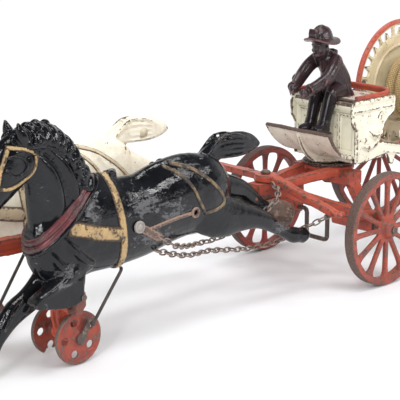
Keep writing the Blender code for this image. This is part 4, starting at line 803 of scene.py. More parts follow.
radius = reel["drum"] + 0.3 + reel["hose"]
width = 2 * (reel["half"] - reel["hose"] - 1)
count = reel["turns"] * reel["steps"]
points = []
for i in range(count + 1):
    a = 2 * pi * i / reel["steps"]
    points.append(Vector((reel["x"] + radius * cos(a), -width / 2 + width * i / count,
                          reel["z"] + radius * sin(a))))
first, last = (end + (end - beside).normalized() * 2 * reel["hose"] for end, beside in
               ((points[0], points[1]), (points[-1], points[-2])))
points = [first] + points + [last]
hose = Form().pipe(points, reel["hose"], reel["sides"]).add("wovenHoseWinding")
travelled = 0.0
values = []
for i, point in enumerate(points):
    travelled += (point - points[i - 1]).length if i else 0
    for a in angles(reel["sides"]):
        values.extend((travelled, a, 0))
hose.data.attributes.new("lay", "FLOAT_VECTOR", "POINT").data.foreach_set("vector", values)
settle(hose, "hose_reel", "hose", ["hose_winding"])
print("reel wound")

# Horses: one casting, mirrored for the far side
horse = {
    "barrel": [(-277, 84, 18, 8.5), (-268, 82.5, 27.5, 12), (-255, 83, 30, 13.8), (-240, 84, 30, 14.2),
               (-222, 81.5, 27.5, 14.6), (-200, 82, 26, 15), (-182, 86, 26.4, 14.6), (-165, 88, 26.4, 14.6),
               (-150, 86, 25, 13.6), (-138, 83, 20.5, 11), (-130, 80.5, 13, 6.5)],
    "neck": [(-254, 90, 27, 12), (-260, 108, 22, 10.6), (-266, 124, 17.5, 9), (-273, 137, 13, 7.6),
             (-280, 142.5, 9, 6)],
    "head": [(-280, 141.5, 9.4, 6), (-286, 133, 14, 7.8), (-293, 125, 13.6, 8), (-300, 117, 11.2, 6.8),
             (-306, 110.5, 9.2, 5.9), (-311, 105, 8.8, 6), (-314.5, 101.5, 7.2, 5.4)],
    "tail": [(-156, 104, 6, 5), (-147, 107.6, 5.2, 4.4), (-138, 111.4, 6.2, 4.8), (-128, 113.2, 8, 5.2),
             (-116, 113, 8.4, 4.6), (-106, 112, 6.4, 3.6), (-99.6, 111, 3, 2), (-97.6, 110.8, 1.4, 1.2)],
    "outerHind": [(-156, 86, 22, 6.8, -6), (-140, 72, 15.5, 6.8, -7), (-124, 67.8, 10.5, 5.8, -7.6),
                  (-110, 64.6, 7.4, 5, -8), (-100, 60.8, 6.2, 4.7, -8), (-90, 54.6, 4.7, 4, -8),
                  (-80, 48.6, 4.2, 3.9, -8), (-72.5, 45.6, 5.6, 4.8, -8), (-67, 44.4, 5.2, 4.6, -8),
                  (-62.5, 43.6, 5.8, 5, -8)],
    "innerHind": [(-150, 91, 18, 7, 6), (-124, 84.4, 10.4, 6, 7.4), (-108, 80, 7.6, 5, 8),
                  (-97, 72.6, 6.4, 4.7, 8),
                  (-88, 66.2, 4.5, 4.1, 8), (-82, 62.8, 5, 4.4, 8)],
    "leadFore": [(-254, 64, 15, 6.6, 6), (-266, 52, 10.4, 6, 7.4), (-277, 44.4, 8, 5.4, 8),
                 (-287, 39.4, 7.6, 5.2, 8),
                 (-294, 33.4, 6.6, 4.6, 8), (-301, 24.4, 4.9, 4.1, 8), (-306, 16.4, 5.2, 4.5, 8),
                 (-309.6, 11.8, 4.8, 4.4, 8), (-313.6, 6.8, 6.6, 5.2, 8)],
    "foldedFore": [(-248, 68, 12, 6.6, -5), (-256, 61, 7.4, 6.2, -6.6), (-264, 56.6, 4.4, 6, -7.6),
                   (-274, 53.4, 3.0, 5.8, -7.8), (-283, 49.8, 2.6, 5, -8)],
    "foldedBlock": [(-286.6, 45.4), (-286.2, 49), (-283.4, 51), (-276, 54.6), (-262, 57.4), (-252.6, 56),
                    (-252.4, 43.6), (-258, 41.6), (-263.6, 41), (-274, 42.6)],
    "foldedWeb": [(-262.4, 68), (-262, 56), (-261, 43), (-253, 43.4), (-250.6, 52), (-249.2, 62), (-246, 72)],
    "crest": [(-242, 0, 113), (-247, 0, 122), (-253, 0, 131.5), (-260, 0, 139.4), (-268, 0, 144.4),
              (-277, 0, 145.6), (-285, 0, 143)],
    "grain": 0.85,
}
shifts = {"near": Vector((0, -toy["horseY"], 0)),
          "far": Vector((toy["farAhead"], toy["horseY"], toy["farUp"]))}


def horseForm():
    form = Form()
    for part, sides in (("barrel", 32), ("neck", 28), ("head", 24), ("tail", 20), ("outerHind", 18),
                        ("innerHind", 18),
                        ("leadFore", 18), ("foldedFore", 18)):
        form.limb(horse[part], sides)
    for side in (-1, 1):
        for x, y, z, radii, tilt in ((-247, 4.6, 86, (14, 10.6, 21), 18),  # shoulder
                                     (-152, 4.4, 90, (21, 10.6, 22), -22),  # haunch
                                     (-271, 4.2, 82, (8, 7, 13), 0),  # breast
                                     (-284.5, 3.2, 127, (7, 5.6, 8.4), 30),  # cheek
                                     (-313, 3.2, 103, (3.2, 3.0, 3.6), 0),  # nostril wing
                                     (-291.5, 6.6, 132.2, (3.2, 1.9, 2.2), 30)):  # eye
            form.ball((x, side * y, z), radii, tilt)
        brow = [(-296.5, 5.6, 133), (-292, 7.2, 135.6), (-287, 7.2, 135.4)]
        form.pipe(onSide(brow, side), [0.8, 1.3, 0.9], 8)
        ear = flow(onSide([(-284, 4.8, 137.6), (-287.2, 6.2, 144), (-289.6, 6, 151.4)], side), 4)
        form.pipe(ear, [3.2, 3.5, 3.7, 3.7, 3.5, 3.0, 2.4, 1.6, 0.8], 14)
        # Two folds at the throat, two over the shoulder and one on the haunch.
        for line, per, thin, thick, sides in (
                ([(-279, 6.4, 133), (-270.5, 8.2, 121), (-266, 9.2, 106), (-265, 9.6, 92)], 6, 1.0, 2.6, 14),
                ([(-272, 6.2, 136), (-262, 8.4, 125), (-256, 10, 112), (-254, 11, 100)], 6, 0.8, 2.0, 14),
                ([(-276, 6.6, 82), (-271, 9.6, 72), (-264, 10.6, 64), (-256, 10.4, 59)], 5, 0.8, 1.7, 12),
                ([(-268, 10.4, 86), (-260, 12.6, 76), (-252, 13, 68), (-244, 12.4, 63)], 5, 0.8, 1.5, 12),
                ([(-166, 11.6, 104), (-158, 12.2, 94), (-150, 11.4, 84), (-140, 10, 74)], 5, 0.8, 1.6, 12)):
            form.fold(onSide(line, side), per, thin, thick, sides)
    form.prism(horse["foldedBlock"], -12.8, -3.2)
    form.prism(horse["foldedWeb"], -11.6, -3.4)
    for line in ([(-270, 3, 51), (-277, 2.4, 45.6), (-284, 2.8, 39)],
                 [(-284, 3, 46.8), (-291, 2.4, 41.4), (-298, 2.8, 32)]):
        form.pipe(flow(line, 5), 1.3, 8)
    for side in (-1, 1):
        for i in range(5):  # strands of the tail
            line = [(-150 + i, 1.5 + i * 0.7, 110 + i * 0.4), (-134, 4.2, 108 + i * 3.2),
                    (-118, 4.4, 107.5 + i * 3), (-104, 2.4, 108.6 + i * 0.8)]
            form.pipe(flow(onSide(line, side), 5), 0.95, 8)
    form.pipe(flow(horse["crest"], 3), 3.0, 14)
    form.spindle((-221, 0, 103), (-221, 0, 109.6), 4.6, 24, 3.4)
    for centre, radii, tilt, sides in (((-222.6, -1.4, 111.6), (4.4, 3.4, 2.4), 12, 20),
                                       ((-219.4, 1.6, 110.8), (3.4, 3.2, 2.8), -18, 20),
                                       ((-225.4, -2.6, 110.2), (2.2, 2.0, 1.8), 0, 12),
                                       ((-311.4, 8, 8.6), (5.2, 5.22, 4.8), 0, 20),
                                       ((-62.8, -8, 43.6), (5.2, 4.86, 4.8), 0, 20)):
        form.ball(centre, radii, tilt, sides)
    return form


def maneForm():
    # Short thick curls: they hang from the poll and lie level above the withers.
    form = Form()
    lock = random.Random(11)
    crest = flow(horse["crest"], 3)
    for i, (x, y, z) in enumerate(crest[:-1]):
        if x < -282.5:  # the forelock below takes over here
            continue
        share = i / (len(crest) - 1)
        along = heading(crest, i)
        out = Vector((-along.z, 0, along.x))
        out = out if out.z > 0 else -out
        base = Vector((x, 0, z))
        if i % 2 == 0:
            form.ball(base + out * lock.uniform(1.0, 2.4), (3.4, 2.8, 3.2), lock.uniform(-40, 40), 12)
        for side in (-1, 1):
            for layer in range(2):
                long = (12 + 4 * share + lock.uniform(-2, 2)) * (1.0 if layer else 0.6)
                fall = Vector((-0.8 + 1.15 * share, 0, -0.5 - 0.35 * share)).normalized()
                bend = Vector((fall.z, 0, -fall.x)) * lock.uniform(2.0, 3.4) * (1 if (i + layer) % 2 else -1)
                spread = 5.4 + 3.0 * (1 - share) + (0.2 if layer else 1.8)
                first = base + out * (2.0 - layer * 1.5) + fall * long * 0.25 + bend * 0.3
                form.fold([base + out * (3.0 - layer * 0.8) + Vector((0, side * 0.8, 0)),
                           first + Vector((0, side * spread * 0.66, 0)),
                           base + fall * long * 0.62 + bend + Vector((0, side * spread, 0)),
                           base + fall * long - bend * 0.7 + Vector((0, side * (spread + 0.6), 0))],
                          4, 0.9, 1.7, 10)
    for side in (-1, 1):
        for k in range(4):
            start = Vector((-284 - k * 1.2, side * (0.8 + k * 0.5), 145 - k * 0.6))
            curl = [start, start + Vector((-4, side * 1.5, -3 + k)),
                    start + Vector((-7.4 + k, side * (2.4 + k * 0.4), -8.4 + k * 0.6))]
            form.pipe(flow(curl, 4), [1.0, 1.5, 1.7, 1.8, 1.8, 1.6, 1.3, 1.0, 0.6], 8)
    return form


# Where the horse's grey patches lie: partly rubbed enamel and partly painted reflection.
def rubAndSheenAmount(x, y, z):
    spots = ((-205, 92, 20, 11), (-184, 86, 18, 12), (-246, 96, 9, 12), (-170, 106, 13, 7), (-200, 70, 22, 8),
             (-262, 62, 10, 7), (-86, 56, 16, 8), (-268, 55, 8, 3))
    return max(0.75 - 0.55 * (((x - a) / c) ** 2 + ((z - b) / d) ** 2) for a, b, c, d in spots)


horseCast = horseForm().cast("horsePattern", horse["grain"], 3)
maneCast = maneForm().cast("manePattern", 0.46, 1)
dab(horseCast, "rubAndSheen", rubAndSheenAmount)
tree = BVHTree.FromPolygons([v.co.copy() for v in horseCast.data.vertices],
                            [tuple(p.vertices) for p in horseCast.data.polygons])


def onHorse(x, z, side, lift=0.0):
    # The point on the horse's flank that lies straight in from the side.
    start = Vector(((x + middleX) * mm, side * 0.05, z * mm))
    hit, normal = tree.ray_cast(start, Vector((0, -side, 0)))[:2]
    if hit is None:
        return None
    point = hit * 1000 + (normal if normal.y * side > 0 else -normal) * lift
    return Vector((point.x - middleX, point.y, point.z))


def inward(base, out, reach):
    # The point on the horse that is met on the way in to its middle line.
    ahead = Vector((middleX, 0, 0))
    hit = tree.ray_cast((base + out * reach + ahead) * mm, -out)[0]
    return hit * 1000 - ahead if hit else base + out * 15


def shares(rows=5):
    # Places across a band, and how full its crown is there.
    spots = [k / (rows - 1) - 0.5 for k in range(rows)]
    return [(share, 1 - 0.5 * (2 * share) ** 4) for share in spots]


def strap(form, line, side, wide, thick):
    # A flat band that follows the casting under it.
    line = flow(line, 6)
    rings = []
    for i, (x, z) in enumerate(line):
        along = heading(line, i)
        across = Vector((-along.y, along.x))
        spots = [(Vector((x, z)) + across * wide * share, thick * full) for share, full in shares()]
        outer = [onHorse(spot.x, spot.y, side, lift) for spot, lift in spots]
        inner = [onHorse(spot.x, spot.y, side, -0.7) for spot, lift in spots]
        if None not in outer + inner:
            rings.append(outer + inner[::-1])
    if len(rings) > 1:
        form.skin(rings)


def hoop(form, centre, direction, wide, lift):
    # A band right round the horse in a tilted plane.
    along = Vector((direction[0], 0, direction[1])).normalized()
    normal = Vector((along.z, 0, -along.x))
    rings = []
    for a in angles(64):
        out = (along * cos(a) + Vector((0, sin(a), 0))).normalized()
        spots = [(inward(Vector((centre[0], 0, centre[1])) + normal * wide * share, out, 60), full)
                 for share, full in shares()]
        rings.append([hit + out * lift * full for hit, full in spots]
                     + [hit - out * 0.8 for hit, full in spots[::-1]])
    form.skin(rings, True)


def collarRims(look, count=56):
    # Rings round the neck, eased so that they don't follow every fold of it.
    up = Vector((cos(look["tilt"]), 0, sin(look["tilt"])))
    outs = [(up * cos(a) + Vector((0, sin(a), 0))).normalized() for a in angles(count)]
    rims = []
    for offset, size in look["rims"]:
        base = Vector((look["x"], 0, look["z"])) + Vector((-up.z, 0, up.x)) * offset
        ring = [inward(base, out, 70) + out * 0.6 for out in outs]
        for turn in range(3):
            ring = [(ring[i - 1] + ring[i] * 2 + ring[(i + 1) % count]) / 4 for i in range(count)]
        rims.append((ring, [size * (0.78 + 0.34 * (1 - cos(a)) / 2) for a in angles(count)]))
    return rims


# Each strap is a line on the flank, its width and its thickness.
harness = {
    "girth": ((-224.6, 84), (-0.13, 0.99), 5.4, 1.2),
    "bands": (([(-262, 88), (-250, 84.5), (-240, 81), (-224, 77.5)], 9, 1.1),  # breast
              ([(-297, 138.6), (-291, 137.4), (-284, 135.8), (-279, 132.6)], 2.4, 1.0),  # brow
              ([(-279, 132.6), (-280, 126), (-284, 121), (-291, 117.6), (-297, 116), (-303, 116.6)], 2.4,
               1.0),
              ([(-296, 138), (-299, 132), (-302, 126), (-304, 118)], 2.4, 1.0)),  # face
    "lines": (([(-192, 113.4), (-182.6, 109), (-174, 102.6), (-167.6, 94.5), (-163.6, 86.5), (-158, 78.5)],
               2.2, 0.8),
              ([(-191, 114), (-178, 111), (-165, 106), (-151, 95), (-141, 83), (-147, 78.6), (-158, 77.6)],
               2.4, 0.8),
              ([(-217, 109.8), (-205, 112), (-190, 114.6), (-176, 115.6)], 2.2, 0.8),  # back
              ([(-303, 117.4), (-306, 113), (-309, 108), (-312, 104)], 1.8, 0.7)),  # nose
    "leather": (([(-205, 76.6), (-198, 77.6), (-186, 79), (-170, 80)], 2.3, 1.3),  # trace
                ([(-213, 80), (-205, 75.4), (-196, 70)], 5, 1.9)),  # drop
    "blinker": (([(-297, 133), (-291, 133.4), (-286, 129), (-288, 123.6), (-294, 122.6), (-299, 127)],
                 1.6, 1.0),),
    "collar": {"x": -257.5, "z": 97.5, "tilt": atan2(0.634, 0.773),
               "rims": ((-3.6, 1.5), (-0.8, 1.9), (2.3, 2.0))},
    "tones": {"near": ("gold", "dullGold", "collar", "strap", "mane"),
              "far": ("whiteBand", "whiteBand", "whiteBand", "strap", "whiteBand")},
}


def hangHarness(label, side):
    # Every strap is drawn on the near pattern, then mirrored for the far horse.
    def keep(name, form, tone):
        piece = form.add(name + "Pattern")
        settle(twin(piece, label + name, shifts[label], side > 0), label + "_horse", tone)
        bpy.data.objects.remove(piece)

    def straps(form, rows, flanks=(-1, 1)):
        for flank in flanks:
            for line, wide, thick in rows:
                strap(form, line, flank, wide, thick)

    look = harness
    bandTone, lineTone, collarTone, leatherTone, edgeTone = look["tones"][label]
    gold = Form()
    hoop(gold, *look["girth"])
    straps(gold, look["bands"])
    keep("GoldBands", gold, bandTone)
    lines = Form()
    straps(lines, look["lines"])
    keep("RumpLines", lines, lineTone)
    rims = collarRims(look["collar"])
    collar = Form()
    for ring, fat in rims[1:]:
        collar.pipe(ring, fat, 12, True)
    keep("Collar", collar, collarTone)
    edge = Form().pipe(*rims[0], 12, True)
    straps(edge, look["blinker"])
    keep("CollarEdge", edge, edgeTone)
    leather = Form()
    for flank in (-1, 1):
        straps(leather, look["leather"], (flank,))
        leather.pipe(circle(onHorse(-167, 80, flank), 2.5, 24, flank * 0.7), 1.0, 10, True)
        leather.ball(onHorse(-196.4, 70.4, flank) + Vector((0, flank * 1.2, 0)), (2.7, 1.8, 2.7), 0, 16)
    keep("TraceStraps", leather, leatherTone)
    if side > 0:
        disc = Form()
        for flank in (-1, 1):
            peg = onHorse(-122.6, 112, flank)
            disc.spindle(peg + Vector((0, -flank * 2, 0)), peg + Vector((0, flank * 0.5, 0)), 3.6, 32, 3.3)
        keep("TailDisc", disc, "plainWhite")


for label, side, slot, maneTone in (("near", -1, "black", "mane"), ("far", 1, "white", "white")):
    shift = shifts[label]
    settle(twin(horseCast, label + "HorseCast", shift, side > 0), label + "_horse", slot,
           [label + "_horse_outer_half", label + "_horse_inner_half"])
    settle(twin(maneCast, label + "HorseMane", shift, side > 0), label + "_horse", maneTone)
    hangHarness(label, side)
    x, y, z = -213 + shift.x, shift.y, 80 + shift.z
    form = Form().spindle((x, y - 16, z), (x, y + 16, z), 1.5, 24)
    for end in (-1, 1):
        form.spindle((x, y + end * 15.2, z), (x, y + end * 16.4, z), 3.9, 28, 3.7)
        form.pipe(circle((x, y, z), 3.2, 28, end * 16.5), 0.6, 8, True)
        form.ball((x, y + end * 16.4, z), (2.3, 1.0, 2.3))
    form.make(label + "SeamRivet", 0.42, 1, label + "_horse", "boss", "iron", label + "_horse_rivet")
    x, y, z = -253 + shift.x, shift.y + side * 8, 45 + shift.z
    form = Form().spindle((x, y - 5.3, z), (x, y + 5.3, z), 1.2, 20)
    for end in (-1, 1):
        form.ball((x, y + end * 5.2, z), (1.9, 0.7, 1.9))
    settle(form.add(label + "BracketRivet"), label + "_horse", "iron", [label + "_bracket_pin"])
bpy.data.objects.remove(horseCast)
bpy.data.objects.remove(maneCast)
form = Form().limb([(-84, 64, 4.4, 4.2, -22), (-80, 62, 6.2, 5, -22), (-75, 60, 7.8, 5.6, -22),
                    (-68, 57, 8.6, 5.9, -22), (-62, 54.4, 8.4, 5.7, -22), (-59.6, 53.4, 7.2, 5, -22)], 24)
form.make("nearBellHoof", 0.6, 2, "near_horse", "strap", "black")
print("horses harnessed")

# Trolleys
trolley = {"x": -249, "z": 16.4, "radius": 16.4, "tread": 3, "half": 13.3, "over": 11, "holes": 5,
           "phase": 36,
           "throw": 11, "lean": 30, "pin": (-253, 45), "grain": 0.42,
           "bite": ((-124, 19), (-119, 13.2), (-112, 12.1), (-104, 11.4), (-97, 12.6), (-88, 11.8),
                    (-80, 13.4),
                    (-72, 14.2), (-66, 19), (-95, 21))}


def drilled(piece, bores, grain):
    # Melts first, then cuts the holes one by one, and melts the cut edges.
    piece = melted(piece, grain)
    for bore in bores:
        cutter = bore.add("boreTool")
        hole = piece.modifiers.new("hole", "BOOLEAN")
        hole.operation = "DIFFERENCE"
        hole.solver = "MANIFOLD"
        hole.object = cutter
        piece = applied(piece)
        bpy.data.objects.remove(cutter)
    return melted(piece, grain, 2)


def trolleyWheel(name, centre, broken):
    # A disc with a raised rim, a hub and five round holes; a broken one has lost its edge at a hole.
    look = trolley
    x, y, z = centre
    r, half = look["radius"], look["tread"] / 2
    form = Form().spin([(2, half + 0.9), (3.7, half + 0.9), (4.7, half), (5.4, half - 0.6), (5.4, -half),
                        (2, -half)],
                       centre, -1, 48)
    form.spin(mirrored([(3, half - 0.6), (r - 2, half - 0.6), (r - 1.7, half), (r - 0.4, half),
                        (r, half - 0.4)]),
              centre, -1, 96)
    bores = []
    for k in range(look["holes"]):
        a = radians(look["phase"] + 360 * k / look["holes"])
        spot = Vector((x + r * 0.62 * cos(a), y, z + r * 0.62 * sin(a)))
        bores.append(Form().spindle(spot - Vector((0, 5, 0)), spot + Vector((0, 5, 0)), 2.45, 28))
    if broken:
        bite = [(x + far * cos(radians(a)), z + far * sin(radians(a))) for a, far in look["bite"]]
        bores.append(Form().prism(bite, y - 5, y + 5))
    return drilled(form.add(name), bores, look["grain"])


def setTrolley(label, side):
    look = trolley
    shift = shifts[label]
    x, z = look["x"] + shift.x, look["z"]
    middle = side * toy["horseY"] + look["over"]
    pinX, pinZ = look["pin"][0] + shift.x, look["pin"][1] + shift.z
    legY = side * (toy["horseY"] + 8)
    form = Form().spindle((x, middle - 8.3, z), (x, middle + 8.3, z), 4.5, 32)
    for end in (-1, 1):
        form.spindle((x, middle + end * 8.3, z), (x, middle + end * 6.8, z), 5.2, 32)
    low, high = middle - 2.75, middle + 2.75
    form.prism([(x - 3.9, z), (x + 3.9, z), (pinX + 1.4, 35.6), (pinX - 3.6, 35.6)], low, high)
    for y in (low, high):
        form.pipe(flow([(pinX - 3, y, 35), (x - 7.4, y, 28), (x - 5.6, y, 21), (x - 3.2, y, 14)], 5), 1.3, 10)
        form.pipe(flow([(pinX + 0.8, y, 35), (x - 0.6, y, 28), (x + 2.4, y, 22), (x + 3.4, y, 15)], 5),
                  1.1, 10)
    ends = (legY - 2, legY + 2, low, high)
    form.slab((pinX - 4, min(ends) - 0.5, 33.6), (pinX + 0.6, max(ends) + 0.5, 36.8))
    form.prism([(pinX - 3.8, 34.8), (pinX + 0.4, 34.8), (pinX + 4, pinZ - 6.5)]
               + arc(pinX, pinZ, 4, 0, 180, 9),
               legY - 2, legY + 2)
    form.make(label + "TrolleyBracketCast", 0.55, 2, label + "_trolley", "bracket", "red",
              label + "_trolley_bracket",
              bare=lambda px, py, pz: 0.9 if abs(py - legY) < 6 else 0.0)
    wheels = label + "_trolley_wheels"
    for place, sign in (("outer", side), ("inner", -side)):
        y = middle + sign * (look["half"] - look["tread"] / 2)
        wheel = trolleyWheel(label + place.capitalize() + "TrolleyWheelCast", (x, y, z),
                             place == "inner" and side < 0)
        dab(wheel, "bare", tyre(x, z, look["radius"] - 0.5))
        settle(wheel, wheels, "trolley", ["%s_trolley_%s_wheel" % (label, place)])
    face = middle - look["half"] - 1.1
    out = face - 2.2
    inner = middle + look["half"] + 2.3
    a = radians(90 - look["lean"])
    px, pz = x + look["throw"] * cos(a), z + look["throw"] * sin(a)
    form = Form().spindle((x, inner, z), (x, out - 0.2, z), 1.65, 20)
    form.spindle((x, inner, z), (x, inner - 1.2, z), 3, 24)
    form.beam((x, (face + out) / 2, z), (px, (face + out) / 2, pz), 1.8, 4.4, 1.8, 3.2)
    form.spindle((x, face, z), (x, out + 0.5, z), 3.7, 24, 3.4)
    form.ball((x, out + 0.2, z), (2.5, 0.9, 2.5))
    form.ball((px, (face + out) / 2, pz), (2.1, 1.2, 2.1))
    form.spindle((px, face, pz), (px, out - 1.1, pz), 1.6, 20)
    form.make(label + "TrolleyCrank", 0.42, 1, wheels, "iron", "iron", label + "_trolley_axle")
    top = Vector((-217 + shift.x, side * toy["horseY"] - 2.5, 53.3 + shift.z))
    low = Vector((px, out - 3.1, pz))
    route = [top, top + Vector((-1.2, -1.6, -1.6)), top * 0.72 + low * 0.28 + Vector((0, -1.2, 0)),
             top * 0.4 + low * 0.6 + Vector((0, -0.6, 0)), low]
    form = Form().pipe(flow(route, 8), 1.05, 14)
    form.ball(low, (1.9, 1.0, 1.9))
    form.make(label + "GallopRodWire", 0.4, 1, label + "_rod", "rod", "iron", label + "_gallop_rod")


setTrolley("near", -1)
setTrolley("far", 1)
print("trolleys set")

# Driver: a plain toy figure in a pleated coat and a brimmed hat
driver = {"seat": 124.3, "grain": 0.5, "pleats": 15}
s = driver["seat"]


def ovalRing(centre, long, wide, tilt, pleat):
    # A level oval, leaned about Y and pleated like cloth.
    ring = []
    for a in angles(60):
        swell = 1 + pleat * cos(driver["pleats"] * a)
        dx = long * cos(a) * swell
        ring.append((centre[0] + dx * cos(tilt), wide * sin(a) * swell, s + centre[1] - dx * sin(tilt)))
    return ring


form = Form().limb([(14, s + 5, 9, 9.6), (12.6, s + 11, 9.2, 10), (8, s + 19, 8.2, 10),
                    (2.4, s + 26, 7.4, 9.6),
                    (-2, s + 31, 5.6, 7.4)], 24)
form.skin([ovalRing(*row) for row in (((12.5, 1.2), 12.4, 12.6, 0.1, 0.035),
                                      ((12.2, 4), 12, 12.2, 0.2, 0.035),
                                      ((11.2, 9), 10.6, 11.2, 0.35, 0.03), ((8.6, 15), 9.4, 10.4, 0.5, 0.025),
                                      ((4.6, 22), 8.4, 10, 0.65, 0.02), ((0.6, 28), 6.6, 8.8, 0.7, 0.015))])
form.limb([(-3.4, s + 30, 5, 4.8), (-5, s + 34, 5.8, 5.3), (-6, s + 38, 6.2, 5.6), (-6.2, s + 42, 5.6, 5.2)],
          20)
for centre, radii, tilt in (((-11.6, 0, s + 36), (1.8, 1.3, 1.8), 20),
                            ((-9.8, 0, s + 31.8), (2.7, 3, 2.1), 0),
                            ((-10.6, 0, s + 38.8), (1.6, 4.4, 1.1), 0)):  # nose, chin and brow
    form.ball(centre, radii, tilt)
for side in (-1, 1):
    form.ball((-5.2, side * 5.5, s + 36.4), (1.6, 1, 2.2))
    form.ball((-9.6, side * 2.9, s + 34.8), (1.7, 1.7, 1.6))
form.skin([[(-4.4 + size * cos(a), size * 0.9 * sin(a),
             s + 41.4 + level + 1.5 * cos(2 * a) * (size / 13) ** 2 - 0.055 * size * cos(a))
            for a in angles(40)]
           for level, size in ((-0.8, 12.4), (-0.1, 13.2), (0.8, 12.6), (1.6, 9))])
form.pipe([(-4.4 + 13 * cos(a), 11.7 * sin(a), s + 41.4 + 1.5 * cos(2 * a) - 0.7 * cos(a))
           for a in angles(40)],
          0.75, 8, True)
form.limb([(-4.6, s + 42, 8.6, 7.8), (-5.2, s + 45.4, 8.2, 7), (-6, s + 48.4, 7, 5.8),
           (-6.6, s + 50.4, 4.4, 3.6)], 24)
form.pipe(flow([(-14.2, 0, s + 43), (-13, 0, s + 48.4), (-8, 0, s + 51.4), (-2, 0, s + 50),
                (3.4, 0, s + 44)], 5),
          1.1, 10)
form.prism([(-14.8, s + 42.4), (-12.6, s + 42.4), (-12.2, s + 47), (-12.8, s + 50), (-14.6, s + 50.2),
            (-15.4, s + 46.6)], -3.4, 3.4)
for side, hand in ((-1, (-29.4, -6.6, s + 7.8)), (1, (-28.2, 4.6, s + 9.4))):
    y = side * 8
    form.limb([(2.6, s + 28.4, 5.6, 4.6, y * 1.05), (-4.6, s + 23, 5.2, 4.5, y * 1.4),
               (-11, s + 17, 4.9, 4.3, y * 1.5),
               (-18, s + 12.6, 4.4, 4, y * 1.25), (-25, s + 9.6, 3.9, 3.7, y * 0.95)], 18)
    form.spindle((-23.6, y * 1.02, s + 10), (-25.4, y * 0.95, s + 9.3), 4.4, 20, 4.5)
    form.ball(hand, (3.5, 3.0, 3.3))
    for k in range(3):
        form.ball((hand[0] - 2.2 + k * 0.6, hand[1] - 1.8 + k * 1.7, hand[2] - 1.5), (1.5, 0.9, 1.8), 20, 10)
    form.limb([(15, s + 5.4, 6, 5.6, y * 0.7), (5, s + 5.8, 5.8, 5.3, y * 0.9),
               (-3.4, s + 4.2, 5.6, 5, y * 1.04)], 18)
    for t in (0, 0.25, 0.5, 0.75, 1):  # creases of the sleeve
        px, pz = -1.5 - 15 * t, s + 26.4 - 12.4 * t
        form.fold([(px + 2.6, y * (1.62 + 0.26 * t), pz + 3.6), (px - 0.4, y * (1.78 + 0.14 * t), pz + 0.6),
                   (px - 1.6, y * (1.6 + 0.1 * t), pz - 3.4)], 4, 0.3, 0.85, 8)
form.pipe([(-5, 0, s + 29.6), (-2, -5.2, s + 31.2), (3, -6.6, s + 31.4), (6.4, -3.6, s + 33),
           (7, 0, s + 33.4),
           (6.4, 3.6, s + 33), (3, 6.6, s + 31.4), (-2, 5.2, s + 31.2)], 1.5, 10, True)
form.pipe(flow([(-6, 0, s + 28), (-4.6, 0, s + 22), (-0.4, 0, s + 13), (2, 0, s + 6)], 5), 0.8, 8)
form.make("driverFigure", driver["grain"], 1, "wagon", "brown", "brown", "driver")
form = Form()
for hip, knee, foot in ((-7.6, -8, -8.8), (6.6, 5, 3.4)):
    form.limb([(-1.6, s + 3.8, 5.5, 5, hip), (-5, s - 3, 5.1, 4.6, knee),
               (-8, s - 10, 4.5, 4.3, (knee + foot) / 2),
               (-10.4, s - 16, 4.2, 4.1, foot)], 18)
    form.spindle((-10, foot, s - 14.6), (-11.2, foot, s - 17.6), 4.5, 20, 4.7)
    form.limb([(-8.4, 103.9, 3.4, 3.8, foot), (-12, 104.4, 3.8, 4, foot), (-17, 104.8, 3.3, 3.9, foot),
               (-21, 104.9, 2.5, 3, foot)], 18)
    form.prism([(-6, 100), (-22.6, 101.6), (-22.6, 102.8), (-6, 102.2)], foot - 3.4, foot + 3.4)
form.make("driverBoots", 0.5, 1, "wagon", "boot", "brown")
print("driver seated")

# Trace chains with real links
chains = {"pitch": 4.7, "half": 3.35, "wide": 1.85, "wire": 0.52}


def traceChain(name, route, node):
    # Wire links laid along a smooth route, every other one turned further.
    points = [Vector(point) for point in flow(route, 24)]
    travelled = [0.0]
    for first, second in zip(points, points[1:]):
        travelled.append(travelled[-1] + (second - first).length)
    count = int(round(travelled[-1] / chains["pitch"]))
    form = Form()
    for k in range(count + 1):
        i = min(range(len(points)), key=lambda n: abs(travelled[n] - travelled[-1] * k / count))
        along = heading(points, i)
        turn = radians(20 if k % 2 else 105)
        level = along.cross(Vector((0, 1, 0))).normalized()
        flat = level * cos(turn) + along.cross(level) * sin(turn)
        form.pipe([points[i] + along * chains["half"] * cos(a) * (1 - 0.12 * cos(2 * a))
                   + flat * chains["wide"] * sin(a) for a in angles(14)], chains["wire"], 7, True)
    piece = form.add(name)
    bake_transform(piece)
    settle(piece, None, "chain", [node])


traceChain("nearOuterChain", [(-194, -40, 60), (-176, -38.6, 53.5), (-160, -36, 50), (-142.5, -31, 47.6),
                              (-106.5, -30.5, 41.5), (-80, -30.5, 41), (-60, -33, 45.5), (-53, -42, 51.5),
                              (-48, -47.6, 56)], "near_trace_outer")
traceChain("nearInnerChain", [(-195, -45.6, 69), (-183, -44.5, 62), (-166, -37, 57), (-152, -31, 54.5),
                              (-140, -30.5, 54), (-115, -30, 56.5), (-95, -30, 62.5), (-80, -29, 69),
                              (-70, -21, 73), (-66.6, -13.5, 74.5)], "near_trace_inner")
traceChain("farOuterChain", [(-221, 45.6, 74), (-209, 44.5, 66), (-190, 36, 60), (-165, 30.5, 57),
                             (-130, 30.5, 55),
                             (-97, 31, 57), (-75, 38, 64), (-66, 50, 72), (-62.5, 57.5, 75.6)],
           "far_trace_outer")
print("chains hung")

